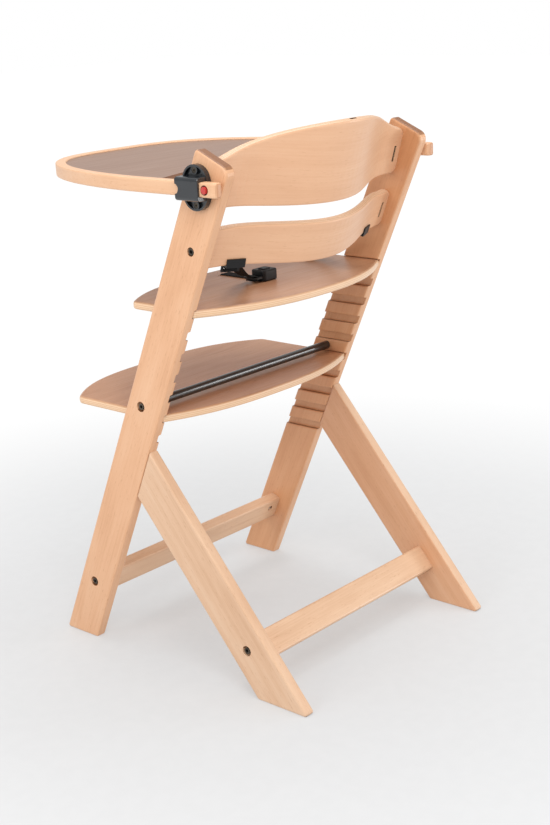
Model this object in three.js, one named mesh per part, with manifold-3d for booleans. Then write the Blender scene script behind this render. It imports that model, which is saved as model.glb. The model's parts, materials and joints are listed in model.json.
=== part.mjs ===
// Wooden grow-along high chair: two leaning side frames with ten grooves each, a seat board and a
// footrest board in those grooves, two bent plywood backrests, a sliding tray and a lap harness.
// Millimetres. +Z is up, the child faces -Y, and +X is the child's left.
import * as THREE from 'three';
import { mergeVertices } from 'three/addons/utils/BufferGeometryUtils.js';
import Module from 'manifold-3d';

const wasm = await Module();
wasm.setup();

// ---- side frame: lengths along Y are measured back from the front foot ----
const DEPTH_MIDDLE = 232.9; // half way between the tray front and the rear feet
const INNER_X = 209; // half of the clear width between the side frames
const SIDE_THICK = 18;
const OUTER_X = INNER_X + SIDE_THICK;
const LEAN = THREE.MathUtils.degToRad(24.27); // lean of the uprights from vertical
const UPRIGHT_WIDTH = 65.4;
const UPRIGHT_TOP = 800;
const UPRIGHT_LENGTH = UPRIGHT_TOP / Math.cos(LEAN);
const EDGE_ROUND = 3;
const FOOT_CORNER = 3.6;
const TOP_REAR_CORNER = 14;
const TOP_FRONT_CORNER = 6;
const LEG_FRONT_FOOT = 423.6;
const LEG_REAR_FOOT = 520;
const LEG_JOINT_LOW = 325.6; // along the upright
const LEG_JOINT_HIGH = 408.6;
const LEG_ANGLE = THREE.MathUtils.degToRad(40);
const JOINT_GAP = 0.2;

// ---- grooves and boards ----
const GROOVE_COUNT = 10;
const GROOVE_PITCH = 33.3;
const GROOVE_TOP_FLOOR = 559; // floor of the highest groove
const GROOVE_HEIGHT = 12.8;
const GROOVE_DEPTH = 7;
const GROOVE_LIP = 2.5;
const GROOVE_CORNER = 1.2;
const BOARD_THICK = 12;
const BOARD_SIDE_X = INNER_X + GROOVE_DEPTH - 0.5;
const SEAT_GROOVE = 0;
const FOOTREST_GROOVE = 5;

// ---- crossbars and rod ----
const BAR_THICK = 20;
const BAR_WIDE = 43;
const FRONT_BAR_S = 118.5;
const FRONT_BAR_N = 29.8;
const REAR_BAR_Y = 409.5;
const REAR_BAR_Z = 69.5;
const ROD_S = 468;
const ROD_N = 27;
const ROD_RADIUS = 7;
const BAR_END_GAP = 0.2;
const BAR_BOLT_RISE = 5; // the bars' bolts sit a little above their middles
const BAR_HOUSING = 4; // the bars' ends are let into the side frames
const BAR_HALF_LENGTH = INNER_X + BAR_HOUSING - BAR_END_GAP;

// ---- backrests: turned about their bolts, so each has its own lean ----
const PLY_THICK = 12;
const LOWER_BACK = {
  boltS: 740, boltN: 40, lean: THREE.MathUtils.degToRad(21.9), bulge: 60.5, bulgeHalf: 209, bulgePower: 2.05,
  endLow: -30, endHigh: 31, midLow: -19.5, midHigh: 45.5,
  lowHalf: 179, lowPower: 0.8, highHalf: 179, highPower: 0.8,
};
const UPPER_BACK = {
  boltS: 832, boltN: 30, lean: THREE.MathUtils.degToRad(16.8), bulge: 57.5, bulgeHalf: 183, bulgePower: 2.13,
  endLow: -33, endHigh: 39, midLow: -27.5, midHigh: 94.5,
  lowHalf: 160, lowPower: 3.4, highHalf: 209, highPower: 1.44,
};
const SLOT_FROM_END = 12;
const SLOT_LENGTH = 26;
const SLOT_WIDE = 5;
const SLOT_REACH = 12; // each nut slot goes right through the sheet
const SLOT_NUT_HALF = 4.6;
const POCKET_HALF = 7; // small pocket in the top edge of the upper backrest
const POCKET_WIDE = 3;
const POCKET_DEEP = 4;

// ---- tray ----
const TRAY_OUTER_X = 249;
const TRAY_RIM = 15.5;
const TRAY_HEIGHT = 20;
const TRAY_MID_Z = 748.5;
const TRAY_FRONT_Y = -50;
const TRAY_STRAIGHT_Y = 265;
const TRAY_ARM_END_Y = 415;
const ARM_END_ROUND = 6;
const TRAY_WIDTH_POWER = 3.25;
const TRAY_DEPTH_POWER = 1.86;
const PANEL_TOP_DROP = 2.5;
const PANEL_THICK = 7;
const PANEL_TONGUE = 4;
const PANEL_REAR_MID_Y = 255;
const PANEL_REAR_CURVE = 38;

// ---- tray bracket and latch ----
const BRACKET_Y = 364.5;
const BRACKET_Z = TRAY_MID_Z;
const BRACKET_HALF_WIDE = 23;
const BRACKET_HALF_HIGH = 31.5;
const BRACKET_PLATE_X = 232.7;
const BRACKET_RIM_X = 235.6;
const SLEEVE_FRONT_Y = 343;
const SLEEVE_REAR_Y = 386;
const SLEEVE_OUTER_X = 253;
const SLEEVE_HALF_HIGH = 16;
const SLEEVE_CLEAR = 0.5;
const SCREW_SPREAD = 23.7;
const NOTCH_RADIUS = 7;
const BUTTON_Y = 395;
const BUTTON_RADIUS = 5.1;
const BUTTON_PROUD = 2.2;
const BUTTON_HOLE_RADIUS = 6.9;
const BUTTON_HOLE_DEPTH = 12;

// ---- bolts ----
const BOLT_RADIUS = 3;
const BOLT_HEAD_RADIUS = 5;
const BOLT_HEAD_LENGTH = 6;
const COUNTERBORE_DEPTH = 7;
const COUNTERBORE_RADIUS = 8;
const SMALL_COUNTERBORE_RADIUS = 6.5;
const BARREL_NUT_X = 189;
const BAR_BORE_END_X = 176;
const ROD_BORE_END_X = 180;
const BACK_BORE_END_X = 188;
const BAR_BOLT_TIP_X = 180;
const ROD_BOLT_TIP_X = 184;
const BACK_BOLT_TIP_X = 190;
const SOCKET_DEPTH = 3.2;
const SOCKET_RADIUS = 2.9;
const BARREL_NUT_RADIUS = 5;
const BARREL_NUT_HALF = 7.2;
const BARREL_HOLE_RADIUS = 5.2;
const BARREL_HOLE_DEEP = 7.5; // past the bolt, away from the open end
const BARREL_HOLE_OPEN = 12; // towards the open end, out of the bar

// ---- harness ----
const WEB_WIDTH = 20;
const WEB_THICK = 1.8;
const CROTCH_SLOT_Y = 185;
const CROTCH_SLOT_LENGTH = 27;
const CROTCH_SLOT_WIDE = 6;
const BUCKLE_X = 1; // the loose buckle lies a little to one side
const CLIP_X = 147; // middle of each clip on the lower backrest
const CLIP_WIDTH = 29;
const CLIP_SLOT_LENGTH = WEB_WIDTH + 1.4;
const CLIP_WALL = 2;
const CLIP_GAP = 0.6;
const CLIP_REAR_HIGH = 11;
const CLIP_FRONT_HIGH = 9;
const CLIP_TAB_LOW = -17;
const BUCKLE_FRONT_Y = 257;
const BUCKLE_LENGTH = 28;
const BUCKLE_WIDTH = 32;
const BUCKLE_HEIGHT = 17;
const FREE_TONGUE = [-168, 205]; // the right strap lies unbuckled on the seat
const FREE_TONGUE_RISE = 5; // the strap passes under the head
const TONGUE_THICK = 3;
const TONGUE_RISE = 7.5; // middle of the tongue over the buckle's underside
const TONGUE_REACH = 18;
const TONGUE_SLOT = [8.5, 13.5]; // near and far edge, from the buckle's side
const MOUTH_DEEP = 13;
const MOUTH_HALF = 8;
const RELEASE_TRAVEL = 1.5;
const RELEASE_DEEP = 4;

// materials
const BEECH = { color: 0xe6bd94, roughness: 0.5, metalness: 0 };
const PLY_TOP = { color: 0xb98a6e, roughness: 0.45, metalness: 0 };
const PLY_BENT = { color: 0xe2b78f, roughness: 0.5, metalness: 0 };
const TRAY_GREY = { color: 0xb09a8e, roughness: 0.4, metalness: 0 };
const BLACK_PLASTIC = { color: 0x2a2c30, roughness: 0.3, metalness: 0 };
const RED_PLASTIC = { color: 0xc24642, roughness: 0.4, metalness: 0 };
const BLACK_STEEL = { color: 0x25211f, roughness: 0.35, metalness: 1 };
const ZINC = { color: 0xb9bcc0, roughness: 0.35, metalness: 1 };
const BLACK_WEB = { color: 0x18181a, roughness: 0.9, metalness: 0 };

const group = new THREE.Group();
group.name = 'high_chair';

// ---------- helpers ----------
function addPart(name, geometry, look) {
  const placed = geometry.clone();
  placed.translate(0, -DEPTH_MIDDLE, 0);
  placed.computeVertexNormals();
  const mesh = new THREE.Mesh(placed, new THREE.MeshStandardMaterial(look));
  mesh.name = name;
  group.add(mesh);
}

function toSolid(geometry) {
  const plain = geometry.clone();
  plain.deleteAttribute('normal');
  plain.deleteAttribute('uv');
  const welded = mergeVertices(plain, 1e-4);
  return new wasm.Manifold(new wasm.Mesh({
    numProp: 3,
    vertProperties: new Float32Array(welded.attributes.position.array),
    triVerts: new Uint32Array(welded.index.array),
  }));
}

function toGeometry(solid) {
  const mesh = solid.getMesh();
  const geometry = new THREE.BufferGeometry();
  geometry.setAttribute('position', new THREE.BufferAttribute(new Float32Array(mesh.vertProperties), 3));
  geometry.setIndex(new THREE.BufferAttribute(new Uint32Array(mesh.triVerts), 1));
  return geometry;
}

function cut(geometry, cutters) {
  let solid = toSolid(geometry);
  for (const cutter of cutters) {
    solid = solid.subtract(toSolid(cutter));
  }
  return toGeometry(solid);
}

function join(geometries) {
  let solid = toSolid(geometries[0]);
  for (const other of geometries.slice(1)) {
    solid = solid.add(toSolid(other));
  }
  return toGeometry(solid);
}

// the same piece on the other side of the chair
function mirrored(geometry) {
  const copy = geometry.clone();
  copy.scale(-1, 1, 1);
  if (!copy.index) {
    copy.setIndex([...Array(copy.attributes.position.count).keys()]);
  }
  const index = copy.index.array;
  for (let i = 0; i < index.length; i += 3) {
    const keep = index[i];
    index[i] = index[i + 1];
    index[i + 1] = keep;
  }
  return copy;
}

function onUpright(s, n) {
  return [s * Math.sin(LEAN) + n * Math.cos(LEAN), s * Math.cos(LEAN) - n * Math.sin(LEAN)];
}

// a polygon whose corners are rounded with their own radii
function roundedShape(points, radii, steps = 4) {
  const outline = [];
  points.forEach((point, i) => {
    const here = new THREE.Vector2(...point);
    const before = new THREE.Vector2(...points[(i + points.length - 1) % points.length]);
    const after = new THREE.Vector2(...points[(i + 1) % points.length]);
    const radius = Array.isArray(radii) ? radii[i] : radii;
    if (radius <= 0) {
      outline.push(here);
      return;
    }
    const toBefore = before.clone().sub(here).normalize();
    const toAfter = after.clone().sub(here).normalize();
    const half = Math.acos(THREE.MathUtils.clamp(toBefore.dot(toAfter), -1, 1)) / 2;
    const reach = radius / Math.tan(half);
    const inward = toBefore.clone().add(toAfter).normalize();
    const centre = inward.multiplyScalar(radius / Math.sin(half)).add(here);
    const start = here.clone().addScaledVector(toBefore, reach).sub(centre);
    const end = here.clone().addScaledVector(toAfter, reach).sub(centre);
    const turn = Math.atan2(start.cross(end), start.dot(end));
    for (let k = 0; k <= steps; k += 1) {
      const angle = Math.atan2(start.y, start.x) + (turn * k) / steps;
      outline.push(new THREE.Vector2(Math.cos(angle), Math.sin(angle)).multiplyScalar(radius).add(centre));
    }
  });
  return new THREE.Shape(outline);
}

function extrude(shape, depth, round, roundSteps) {
  return new THREE.ExtrudeGeometry(shape, {
    depth: depth - 2 * round,
    bevelEnabled: round > 0,
    bevelThickness: round,
    bevelSize: round,
    bevelOffset: -round,
    bevelSegments: roundSteps,
    curveSegments: 12,
    steps: 1,
  }).translate(0, 0, round);
}

// outline in (Y, Z), extruded from x0 to x1
function alongX(shape, x0, x1, round = 0, roundSteps = 2) {
  const basis = new THREE.Matrix4().makeBasis(
    new THREE.Vector3(0, 1, 0), new THREE.Vector3(0, 0, 1), new THREE.Vector3(1, 0, 0));
  return extrude(shape, x1 - x0, round, roundSteps).applyMatrix4(basis).translate(x0, 0, 0);
}

// outline in (X, Y), extruded from z0 to z1
function alongZ(shape, z0, z1, round = 0, roundSteps = 2) {
  return extrude(shape, z1 - z0, round, roundSteps).translate(0, 0, z0);
}

// outline in (Z, X), extruded from y0 to y1
function alongY(shape, y0, y1, round = 0, roundSteps = 2) {
  const basis = new THREE.Matrix4().makeBasis(
    new THREE.Vector3(0, 0, 1), new THREE.Vector3(1, 0, 0), new THREE.Vector3(0, 1, 0));
  return extrude(shape, y1 - y0, round, roundSteps).applyMatrix4(basis).translate(0, y0, 0);
}

function rodAlong(from, to, radius, sides = 20) {
  const start = new THREE.Vector3(...from);
  const end = new THREE.Vector3(...to);
  const axis = end.clone().sub(start);
  const direction = axis.clone().normalize();
  const turn = new THREE.Quaternion().setFromUnitVectors(new THREE.Vector3(0, 1, 0), direction);
  const middle = start.clone().add(end).multiplyScalar(0.5);
  return new THREE.CylinderGeometry(radius, radius, axis.length(), sides)
    .applyQuaternion(turn)
    .translate(middle.x, middle.y, middle.z);
}

function rodX(y, z, x0, x1, radius, sides = 20) {
  return rodAlong([x0, y, z], [x1, y, z], radius, sides);
}

// closed skin over a row of rings that all have the same number of points
function loft(rings) {
  const points = rings.flat();
  const around = rings[0].length;
  const index = [];
  for (let i = 0; i < rings.length - 1; i += 1) {
    for (let k = 0; k < around; k += 1) {
      const a = i * around + k;
      const b = i * around + ((k + 1) % around);
      index.push(a, b, a + around, b, b + around, a + around);
    }
  }
  const last = (rings.length - 1) * around;
  for (let k = 1; k < around - 1; k += 1) {
    index.push(0, k + 1, k);
    index.push(last, last + k, last + k + 1);
  }
  const geometry = new THREE.BufferGeometry();
  geometry.setAttribute('position', new THREE.Float32BufferAttribute(points.flat(), 3));
  geometry.setIndex(index);
  return geometry;
}

// flat band of webbing through a row of points, its width along the given directions
function band(path, widthDirections, width = WEB_WIDTH, thick = WEB_THICK) {
  const rings = path.map((point, i) => {
    const here = new THREE.Vector3(...point);
    const before = new THREE.Vector3(...path[Math.max(i - 1, 0)]);
    const after = new THREE.Vector3(...path[Math.min(i + 1, path.length - 1)]);
    const along = after.sub(before).normalize();
    const across = new THREE.Vector3(...widthDirections[i]);
    across.addScaledVector(along, -across.dot(along)).normalize();
    const normal = new THREE.Vector3().crossVectors(along, across);
    return [[1, 1], [-1, 1], [-1, -1], [1, -1]].map(([u, v]) => here.clone()
      .addScaledVector(across, (u * width) / 2)
      .addScaledVector(normal, (v * thick) / 2).toArray());
  });
  return loft(rings);
}

// ---------- side frames ----------
const grooveFloors = [];
for (let i = 0; i < GROOVE_COUNT; i += 1) {
  grooveFloors.push(GROOVE_TOP_FLOOR - i * GROOVE_PITCH);
}
const frontBarAt = onUpright(FRONT_BAR_S, FRONT_BAR_N);
const rodAt = onUpright(ROD_S, ROD_N);
const lowerBackAt = onUpright(LOWER_BACK.boltS, LOWER_BACK.boltN);
const upperBackAt = onUpright(UPPER_BACK.boltS, UPPER_BACK.boltN);
const rearBarAt = [REAR_BAR_Y, REAR_BAR_Z];
const frontBoltAt = onUpright(FRONT_BAR_S + BAR_BOLT_RISE, FRONT_BAR_N);
const legAlong = [-Math.sin(LEG_ANGLE), Math.cos(LEG_ANGLE)];
const legAcross = [Math.cos(LEG_ANGLE), Math.sin(LEG_ANGLE)];
const rearBoltAt = [REAR_BAR_Y + BAR_BOLT_RISE * legAlong[0], REAR_BAR_Z + BAR_BOLT_RISE * legAlong[1]];
const uprightAlong = [Math.sin(LEAN), Math.cos(LEAN)];
const uprightAcross = [Math.cos(LEAN), -Math.sin(LEAN)];
const DOWEL_X = 220;
const DOWEL_RADIUS = 3;
const LEG_DOWEL_S = [341, 376];
const LEG_DOWEL_HALF = 15;

// section of a crossbar in (Y, Z), grown all round for the housing that takes its end
function barShape(at, along, across, grow) {
  const corner = (a, b) => [
    at[0] + a * along[0] * (BAR_WIDE / 2 + grow) + b * across[0] * (BAR_THICK / 2 + grow),
    at[1] + a * along[1] * (BAR_WIDE / 2 + grow) + b * across[1] * (BAR_THICK / 2 + grow),
  ];
  return roundedShape([corner(-1, -1), corner(-1, 1), corner(1, 1), corner(1, -1)], 3.5, 3);
}

function counterbore(at, radius) {
  return rodX(at[0], at[1], OUTER_X - COUNTERBORE_DEPTH, OUTER_X + 1, radius, 24);
}

function clearance(at, radius = BOLT_RADIUS + 0.3) {
  return rodX(at[0], at[1], INNER_X - 1, OUTER_X - COUNTERBORE_DEPTH + 0.5, radius, 16);
}

// a slot with rounded lips, run right through the front and rear edges
function grooveCutter(floor) {
  const low = [];
  for (let i = 0; i <= 3; i += 1) {
    const turn = (Math.PI / 2) * (i / 3);
    low.push([-GROOVE_LIP + GROOVE_LIP * Math.sin(turn), INNER_X + GROOVE_LIP - GROOVE_LIP * Math.cos(turn)]);
  }
  low.unshift([-GROOVE_LIP, INNER_X - 1]);
  low.push([0, INNER_X + GROOVE_DEPTH - GROOVE_CORNER], [GROOVE_CORNER, INNER_X + GROOVE_DEPTH]);
  const high = low.map(([z, x]) => [GROOVE_HEIGHT - z, x]).reverse();
  const outline = [...low, ...high].map(([z, x]) => new THREE.Vector2(floor + z, x));
  const middle = floor * Math.tan(LEAN) + UPRIGHT_WIDTH / 2;
  return alongY(new THREE.Shape(outline), middle - UPRIGHT_WIDTH, middle + UPRIGHT_WIDTH);
}

const uprightShape = roundedShape(
  [
    [0, 0], [UPRIGHT_WIDTH / Math.cos(LEAN), 0],
    onUpright(UPRIGHT_LENGTH, UPRIGHT_WIDTH), onUpright(UPRIGHT_LENGTH, 0),
  ],
  [FOOT_CORNER, FOOT_CORNER, TOP_REAR_CORNER, TOP_FRONT_CORNER], 5);
const uprightCuts = grooveFloors.map(grooveCutter);
uprightCuts.push(counterbore(frontBoltAt, COUNTERBORE_RADIUS), clearance(frontBoltAt));
uprightCuts.push(counterbore(rodAt, COUNTERBORE_RADIUS), clearance(rodAt));
uprightCuts.push(counterbore(lowerBackAt, SMALL_COUNTERBORE_RADIUS), clearance(lowerBackAt));
uprightCuts.push(counterbore(upperBackAt, SMALL_COUNTERBORE_RADIUS), clearance(upperBackAt));
for (const s of LEG_DOWEL_S) {
  const from = onUpright(s, UPRIGHT_WIDTH - LEG_DOWEL_HALF - 1);
  const to = onUpright(s, UPRIGHT_WIDTH + 2);
  uprightCuts.push(rodAlong([DOWEL_X, ...from], [DOWEL_X, ...to], DOWEL_RADIUS + 0.1, 12));
}
uprightCuts.push(alongX(
  barShape(frontBarAt, uprightAlong, uprightAcross, BAR_END_GAP), INNER_X - 1, INNER_X + BAR_HOUSING));
for (const side of [-1, 1]) {
  const z = BRACKET_Z + side * SCREW_SPREAD;
  uprightCuts.push(rodX(BRACKET_Y, z, OUTER_X - 13, OUTER_X + 1, 2.1, 12));
}
const upright = cut(alongX(uprightShape, INNER_X, OUTER_X, EDGE_ROUND, 2), uprightCuts);
addPart('upright_left', upright, BEECH);
addPart('upright_right', mirrored(upright), BEECH);

const legShape = roundedShape([
  [LEG_FRONT_FOOT, 0], [LEG_REAR_FOOT, 0],
  onUpright(LEG_JOINT_HIGH, UPRIGHT_WIDTH + JOINT_GAP),
  onUpright(LEG_JOINT_LOW, UPRIGHT_WIDTH + JOINT_GAP),
], [FOOT_CORNER, FOOT_CORNER, 0, 0], 4);
const legCuts = [counterbore(rearBoltAt, COUNTERBORE_RADIUS), clearance(rearBoltAt)];
for (const s of LEG_DOWEL_S) {
  const from = onUpright(s, UPRIGHT_WIDTH - 2);
  const to = onUpright(s, UPRIGHT_WIDTH + LEG_DOWEL_HALF + 1);
  legCuts.push(rodAlong([DOWEL_X, ...from], [DOWEL_X, ...to], DOWEL_RADIUS + 0.1, 12));
}
legCuts.push(alongX(
  barShape(rearBarAt, legAlong, legAcross, BAR_END_GAP), INNER_X - 1, INNER_X + BAR_HOUSING));
const rearLeg = cut(alongX(legShape, INNER_X, OUTER_X, EDGE_ROUND, 2), legCuts);
addPart('rear_leg_left', rearLeg, BEECH);
addPart('rear_leg_right', mirrored(rearLeg), BEECH);

LEG_DOWEL_S.forEach((s, i) => {
  const from = onUpright(s, UPRIGHT_WIDTH - LEG_DOWEL_HALF);
  const to = onUpright(s, UPRIGHT_WIDTH + LEG_DOWEL_HALF);
  const dowel = rodAlong([DOWEL_X, ...from], [DOWEL_X, ...to], DOWEL_RADIUS - 0.1, 12);
  addPart(`leg_dowel_left_${i + 1}`, dowel, BEECH);
  addPart(`leg_dowel_right_${i + 1}`, mirrored(dowel), BEECH);
});

// ---------- crossbars and rod ----------
function crossbar(at, boltAt, along, across) {
  const cutters = [];
  for (const side of [-1, 1]) {
    const end = side * (BAR_HALF_LENGTH + 1);
    const stop = side * BAR_BORE_END_X;
    cutters.push(rodX(...boltAt, Math.min(end, stop), Math.max(end, stop), BOLT_RADIUS + 0.3, 16));
    const nutX = side * BARREL_NUT_X;
    cutters.push(rodAlong(
      [nutX, boltAt[0] - across[0] * BARREL_HOLE_DEEP, boltAt[1] - across[1] * BARREL_HOLE_DEEP],
      [nutX, boltAt[0] + across[0] * BARREL_HOLE_OPEN, boltAt[1] + across[1] * BARREL_HOLE_OPEN],
      BARREL_HOLE_RADIUS, 20));
  }
  return cut(alongX(barShape(at, along, across, 0), -BAR_HALF_LENGTH, BAR_HALF_LENGTH), cutters);
}

addPart('front_crossbar', crossbar(frontBarAt, frontBoltAt, uprightAlong, uprightAcross), BEECH);
const legForward = [-legAcross[0], -legAcross[1]];
addPart('rear_crossbar', crossbar(rearBarAt, rearBoltAt, legAlong, legForward), BEECH);

const ROD_HALF_LENGTH = INNER_X - BAR_END_GAP;
const rodBores = [-1, 1].map((side) => {
  const end = side * (ROD_HALF_LENGTH + 1);
  const stop = side * ROD_BORE_END_X;
  return rodX(...rodAt, Math.min(end, stop), Math.max(end, stop), BOLT_RADIUS + 0.2, 16);
});
const rodBody = rodX(...rodAt, -ROD_HALF_LENGTH, ROD_HALF_LENGTH, ROD_RADIUS, 28);
addPart('tie_rod', cut(rodBody, rodBores), BLACK_STEEL);

// ---------- bolts, barrel nuts and dowels ----------
function bolt(at, tipX, headRadius = BOLT_HEAD_RADIUS) {
  const seatX = OUTER_X - COUNTERBORE_DEPTH;
  const head = rodX(...at, seatX + 0.1, seatX + BOLT_HEAD_LENGTH, headRadius, 20);
  const shank = rodX(...at, tipX, seatX + 1, BOLT_RADIUS, 16);
  const headEnd = seatX + BOLT_HEAD_LENGTH;
  const socket = rodX(...at, headEnd - SOCKET_DEPTH, headEnd + 1, SOCKET_RADIUS, 6);
  return cut(join([head, shank]), [socket]);
}

function barrelNut(at, across) {
  const body = rodAlong(
    [BARREL_NUT_X, at[0] - across[0] * BARREL_NUT_HALF, at[1] - across[1] * BARREL_NUT_HALF],
    [BARREL_NUT_X, at[0] + across[0] * BARREL_NUT_HALF, at[1] + across[1] * BARREL_NUT_HALF],
    BARREL_NUT_RADIUS, 20);
  return cut(body, [rodX(...at, BARREL_NUT_X - 8, BARREL_NUT_X + 8, BOLT_RADIUS + 0.15, 16)]);
}

const boltRows = [
  ['front_bar', frontBoltAt, BAR_BOLT_TIP_X],
  ['rear_bar', rearBoltAt, BAR_BOLT_TIP_X],
  ['rod', rodAt, ROD_BOLT_TIP_X],
  ['lower_back', lowerBackAt, BACK_BOLT_TIP_X],
  ['upper_back', upperBackAt, BACK_BOLT_TIP_X],
];
for (const [name, at, tipX] of boltRows) {
  const piece = bolt(at, tipX);
  addPart(`${name}_bolt_left`, piece, BLACK_STEEL);
  addPart(`${name}_bolt_right`, mirrored(piece), BLACK_STEEL);
}
const nutRows = [['front_bar', frontBoltAt, uprightAcross], ['rear_bar', rearBoltAt, legAcross]];
for (const [name, at, across] of nutRows) {
  const piece = barrelNut(at, across);
  addPart(`${name}_nut_left`, piece, ZINC);
  addPart(`${name}_nut_right`, mirrored(piece), ZINC);
}

// ---------- backrests ----------
function rise(x, half, power) {
  return Math.abs(x) < half ? (1 - (x / half) ** 2) ** power : 0;
}

function backFrame(back) {
  return {
    origin: onUpright(back.boltS, back.boltN),
    along: [Math.sin(back.lean), Math.cos(back.lean)],
    across: [Math.cos(back.lean), -Math.sin(back.lean)],
  };
}

function backPoint(frame, x, height, offset) {
  return [
    x,
    frame.origin[0] + height * frame.along[0] + offset * frame.across[0],
    frame.origin[1] + height * frame.along[1] + offset * frame.across[1],
  ];
}

function backrest(back, extraCuts) {
  const frame = backFrame(back);
  const half = INNER_X - BAR_END_GAP;
  const stations = [-1, -0.985, -0.965];
  const inner = 34;
  for (let i = 0; i <= inner; i += 1) {
    stations.push(-0.94 + (1.88 * i) / inner);
  }
  stations.push(0.965, 0.985, 1);
  const round = 3.2;
  const rings = stations.map((u) => {
    const x = u * half;
    const step = 0.5;
    const bulge = back.bulge * rise(x, back.bulgeHalf, back.bulgePower);
    const slope = (back.bulge * (rise(x + step, back.bulgeHalf, back.bulgePower)
      - rise(x - step, back.bulgeHalf, back.bulgePower))) / (2 * step);
    const stretch = Math.sqrt(1 + slope * slope);
    const endEase = 4 * Math.max(0, (Math.abs(u) - 0.965) / 0.035) ** 2;
    const low = back.endLow + (back.midLow - back.endLow) * rise(x, back.lowHalf, back.lowPower) + endEase;
    const highRise = (back.midHigh - back.endHigh) * rise(x, back.highHalf, back.highPower);
    const high = back.endHigh + highRise - endEase;
    const t = PLY_THICK / 2;
    const corners = [
      [low, t - round], [low + round * 0.3, t - round * 0.3], [low + round, t],
      [high - round, t], [high - round * 0.3, t - round * 0.3], [high, t - round],
      [high, -t + round], [high - round * 0.3, -t + round * 0.3], [high - round, -t],
      [low + round, -t], [low + round * 0.3, -t + round * 0.3], [low, -t + round],
    ];
    return corners.map(([height, offset]) => {
      // thickness is laid off square to the bent sheet
      const shift = (-slope * offset) / stretch;
      const point = backPoint(frame, x, height, bulge + offset / stretch);
      point[0] += Math.abs(u) > 0.95 ? 0 : shift;
      return point;
    });
  });
  const cutters = [];
  for (const side of [-1, 1]) {
    const slotX = side * (half - SLOT_FROM_END);
    const corner = (a, b) => {
      const point = backPoint(frame, 0, (a * SLOT_LENGTH) / 2, b);
      return [point[1], point[2]];
    };
    const shape = new THREE.Shape([
      corner(-1, -SLOT_REACH), corner(-1, SLOT_REACH), corner(1, SLOT_REACH), corner(1, -SLOT_REACH),
    ].map((point) => new THREE.Vector2(...point)));
    cutters.push(alongX(shape, slotX - SLOT_WIDE / 2, slotX + SLOT_WIDE / 2));
    const end = side * (half + 1);
    const stop = side * BACK_BORE_END_X;
    cutters.push(rodX(...frame.origin, Math.min(end, stop), Math.max(end, stop), BOLT_RADIUS + 0.3, 16));
  }
  return cut(loft(rings), [...cutters, ...extraCuts]);
}

function slotNut(back) {
  const frame = backFrame(back);
  const slotX = INNER_X - BAR_END_GAP - SLOT_FROM_END;
  const corner = (a, b) => {
    const point = backPoint(frame, 0, a * (SLOT_LENGTH / 2 - 0.4), b * SLOT_NUT_HALF);
    return [point[1], point[2]];
  };
  const shape = new THREE.Shape([corner(-1, -1), corner(-1, 1), corner(1, 1), corner(1, -1)]
    .map((point) => new THREE.Vector2(...point)));
  const plate = alongX(shape, slotX - SLOT_WIDE / 2 + 0.3, slotX + SLOT_WIDE / 2 - 0.3);
  return cut(plate, [rodX(...frame.origin, slotX - 6, slotX + 6, BOLT_RADIUS + 0.15, 16)]);
}

// pocket sunk into the middle of the upper backrest's top edge
const topFrame = backFrame(UPPER_BACK);
const topPocket = alongX(new THREE.Shape([[1, -1], [1, 1], [-1, 1], [-1, -1]].map(([a, b]) => {
  const height = UPPER_BACK.midHigh + a * POCKET_DEEP;
  const point = backPoint(topFrame, 0, height, UPPER_BACK.bulge + (b * POCKET_WIDE) / 2);
  return new THREE.Vector2(point[1], point[2]);
})), -POCKET_HALF, POCKET_HALF);

for (const [name, back, extraCuts] of [['lower', LOWER_BACK, []], ['upper', UPPER_BACK, [topPocket]]]) {
  addPart(`${name}_backrest`, backrest(back, extraCuts), PLY_BENT);
  const nut = slotNut(back);
  addPart(`${name}_back_nut_left`, nut, ZINC);
  addPart(`${name}_back_nut_right`, mirrored(nut), ZINC);
}

// ---------- seat and footrest ----------
// Half outline of a board, from the middle of its front edge round to the middle of its rear edge:
// a bowed front, a round corner tangent to it, a straight side in the groove and a bowed rear.
function boardShape(board) {
  const frontAt = (x) => board.frontMid + board.frontCurve * (x / INNER_X) ** board.frontPower;
  const startTurn = Math.atan((board.frontCurve * board.frontPower) / INNER_X);
  const cornerX = BOARD_SIDE_X - board.cornerRadius * (1 - Math.sin(startTurn));
  const steps = 12;
  const half = [];
  for (let i = 0; i < steps; i += 1) {
    const x = (cornerX * i) / steps;
    half.push([x, frontAt(x)]);
  }
  for (let i = 0; i <= 5; i += 1) {
    const turn = startTurn + ((Math.PI / 2 - startTurn) * i) / 5;
    half.push([
      cornerX + board.cornerRadius * (Math.sin(turn) - Math.sin(startTurn)),
      frontAt(cornerX) + board.cornerRadius * (Math.cos(startTurn) - Math.cos(turn)),
    ]);
  }
  const rearX = BOARD_SIDE_X - 4.5;
  half.push([BOARD_SIDE_X, board.sideEnd - 4]);
  half.push([BOARD_SIDE_X - 1.3, board.sideEnd - 1]);
  for (let i = 0; i <= steps; i += 1) {
    const x = rearX * Math.cos((i / steps) * (Math.PI / 2));
    half.push([x, board.rearMid - (board.rearMid - board.sideEnd) * (x / rearX) ** board.rearPower]);
  }
  const outline = half.map(([x, y]) => new THREE.Vector2(x, y));
  for (const point of half.slice(1, -1).reverse()) {
    outline.push(new THREE.Vector2(-point[0], point[1]));
  }
  return new THREE.Shape(outline);
}

const SEAT = {
  frontMid: 152, frontCurve: 47, frontPower: 3.1, cornerRadius: 12,
  sideEnd: 328, rearMid: 387, rearPower: 2.3,
};
const FOOTREST = {
  frontMid: 3, frontCurve: 56, frontPower: 3.1, cornerRadius: 17,
  sideEnd: 251, rearMid: 290, rearPower: 2.6,
};
const seatFloor = grooveFloors[SEAT_GROOVE] + 0.3;
const footFloor = grooveFloors[FOOTREST_GROOVE] + 0.3;
const seatTop = seatFloor + BOARD_THICK;

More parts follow.
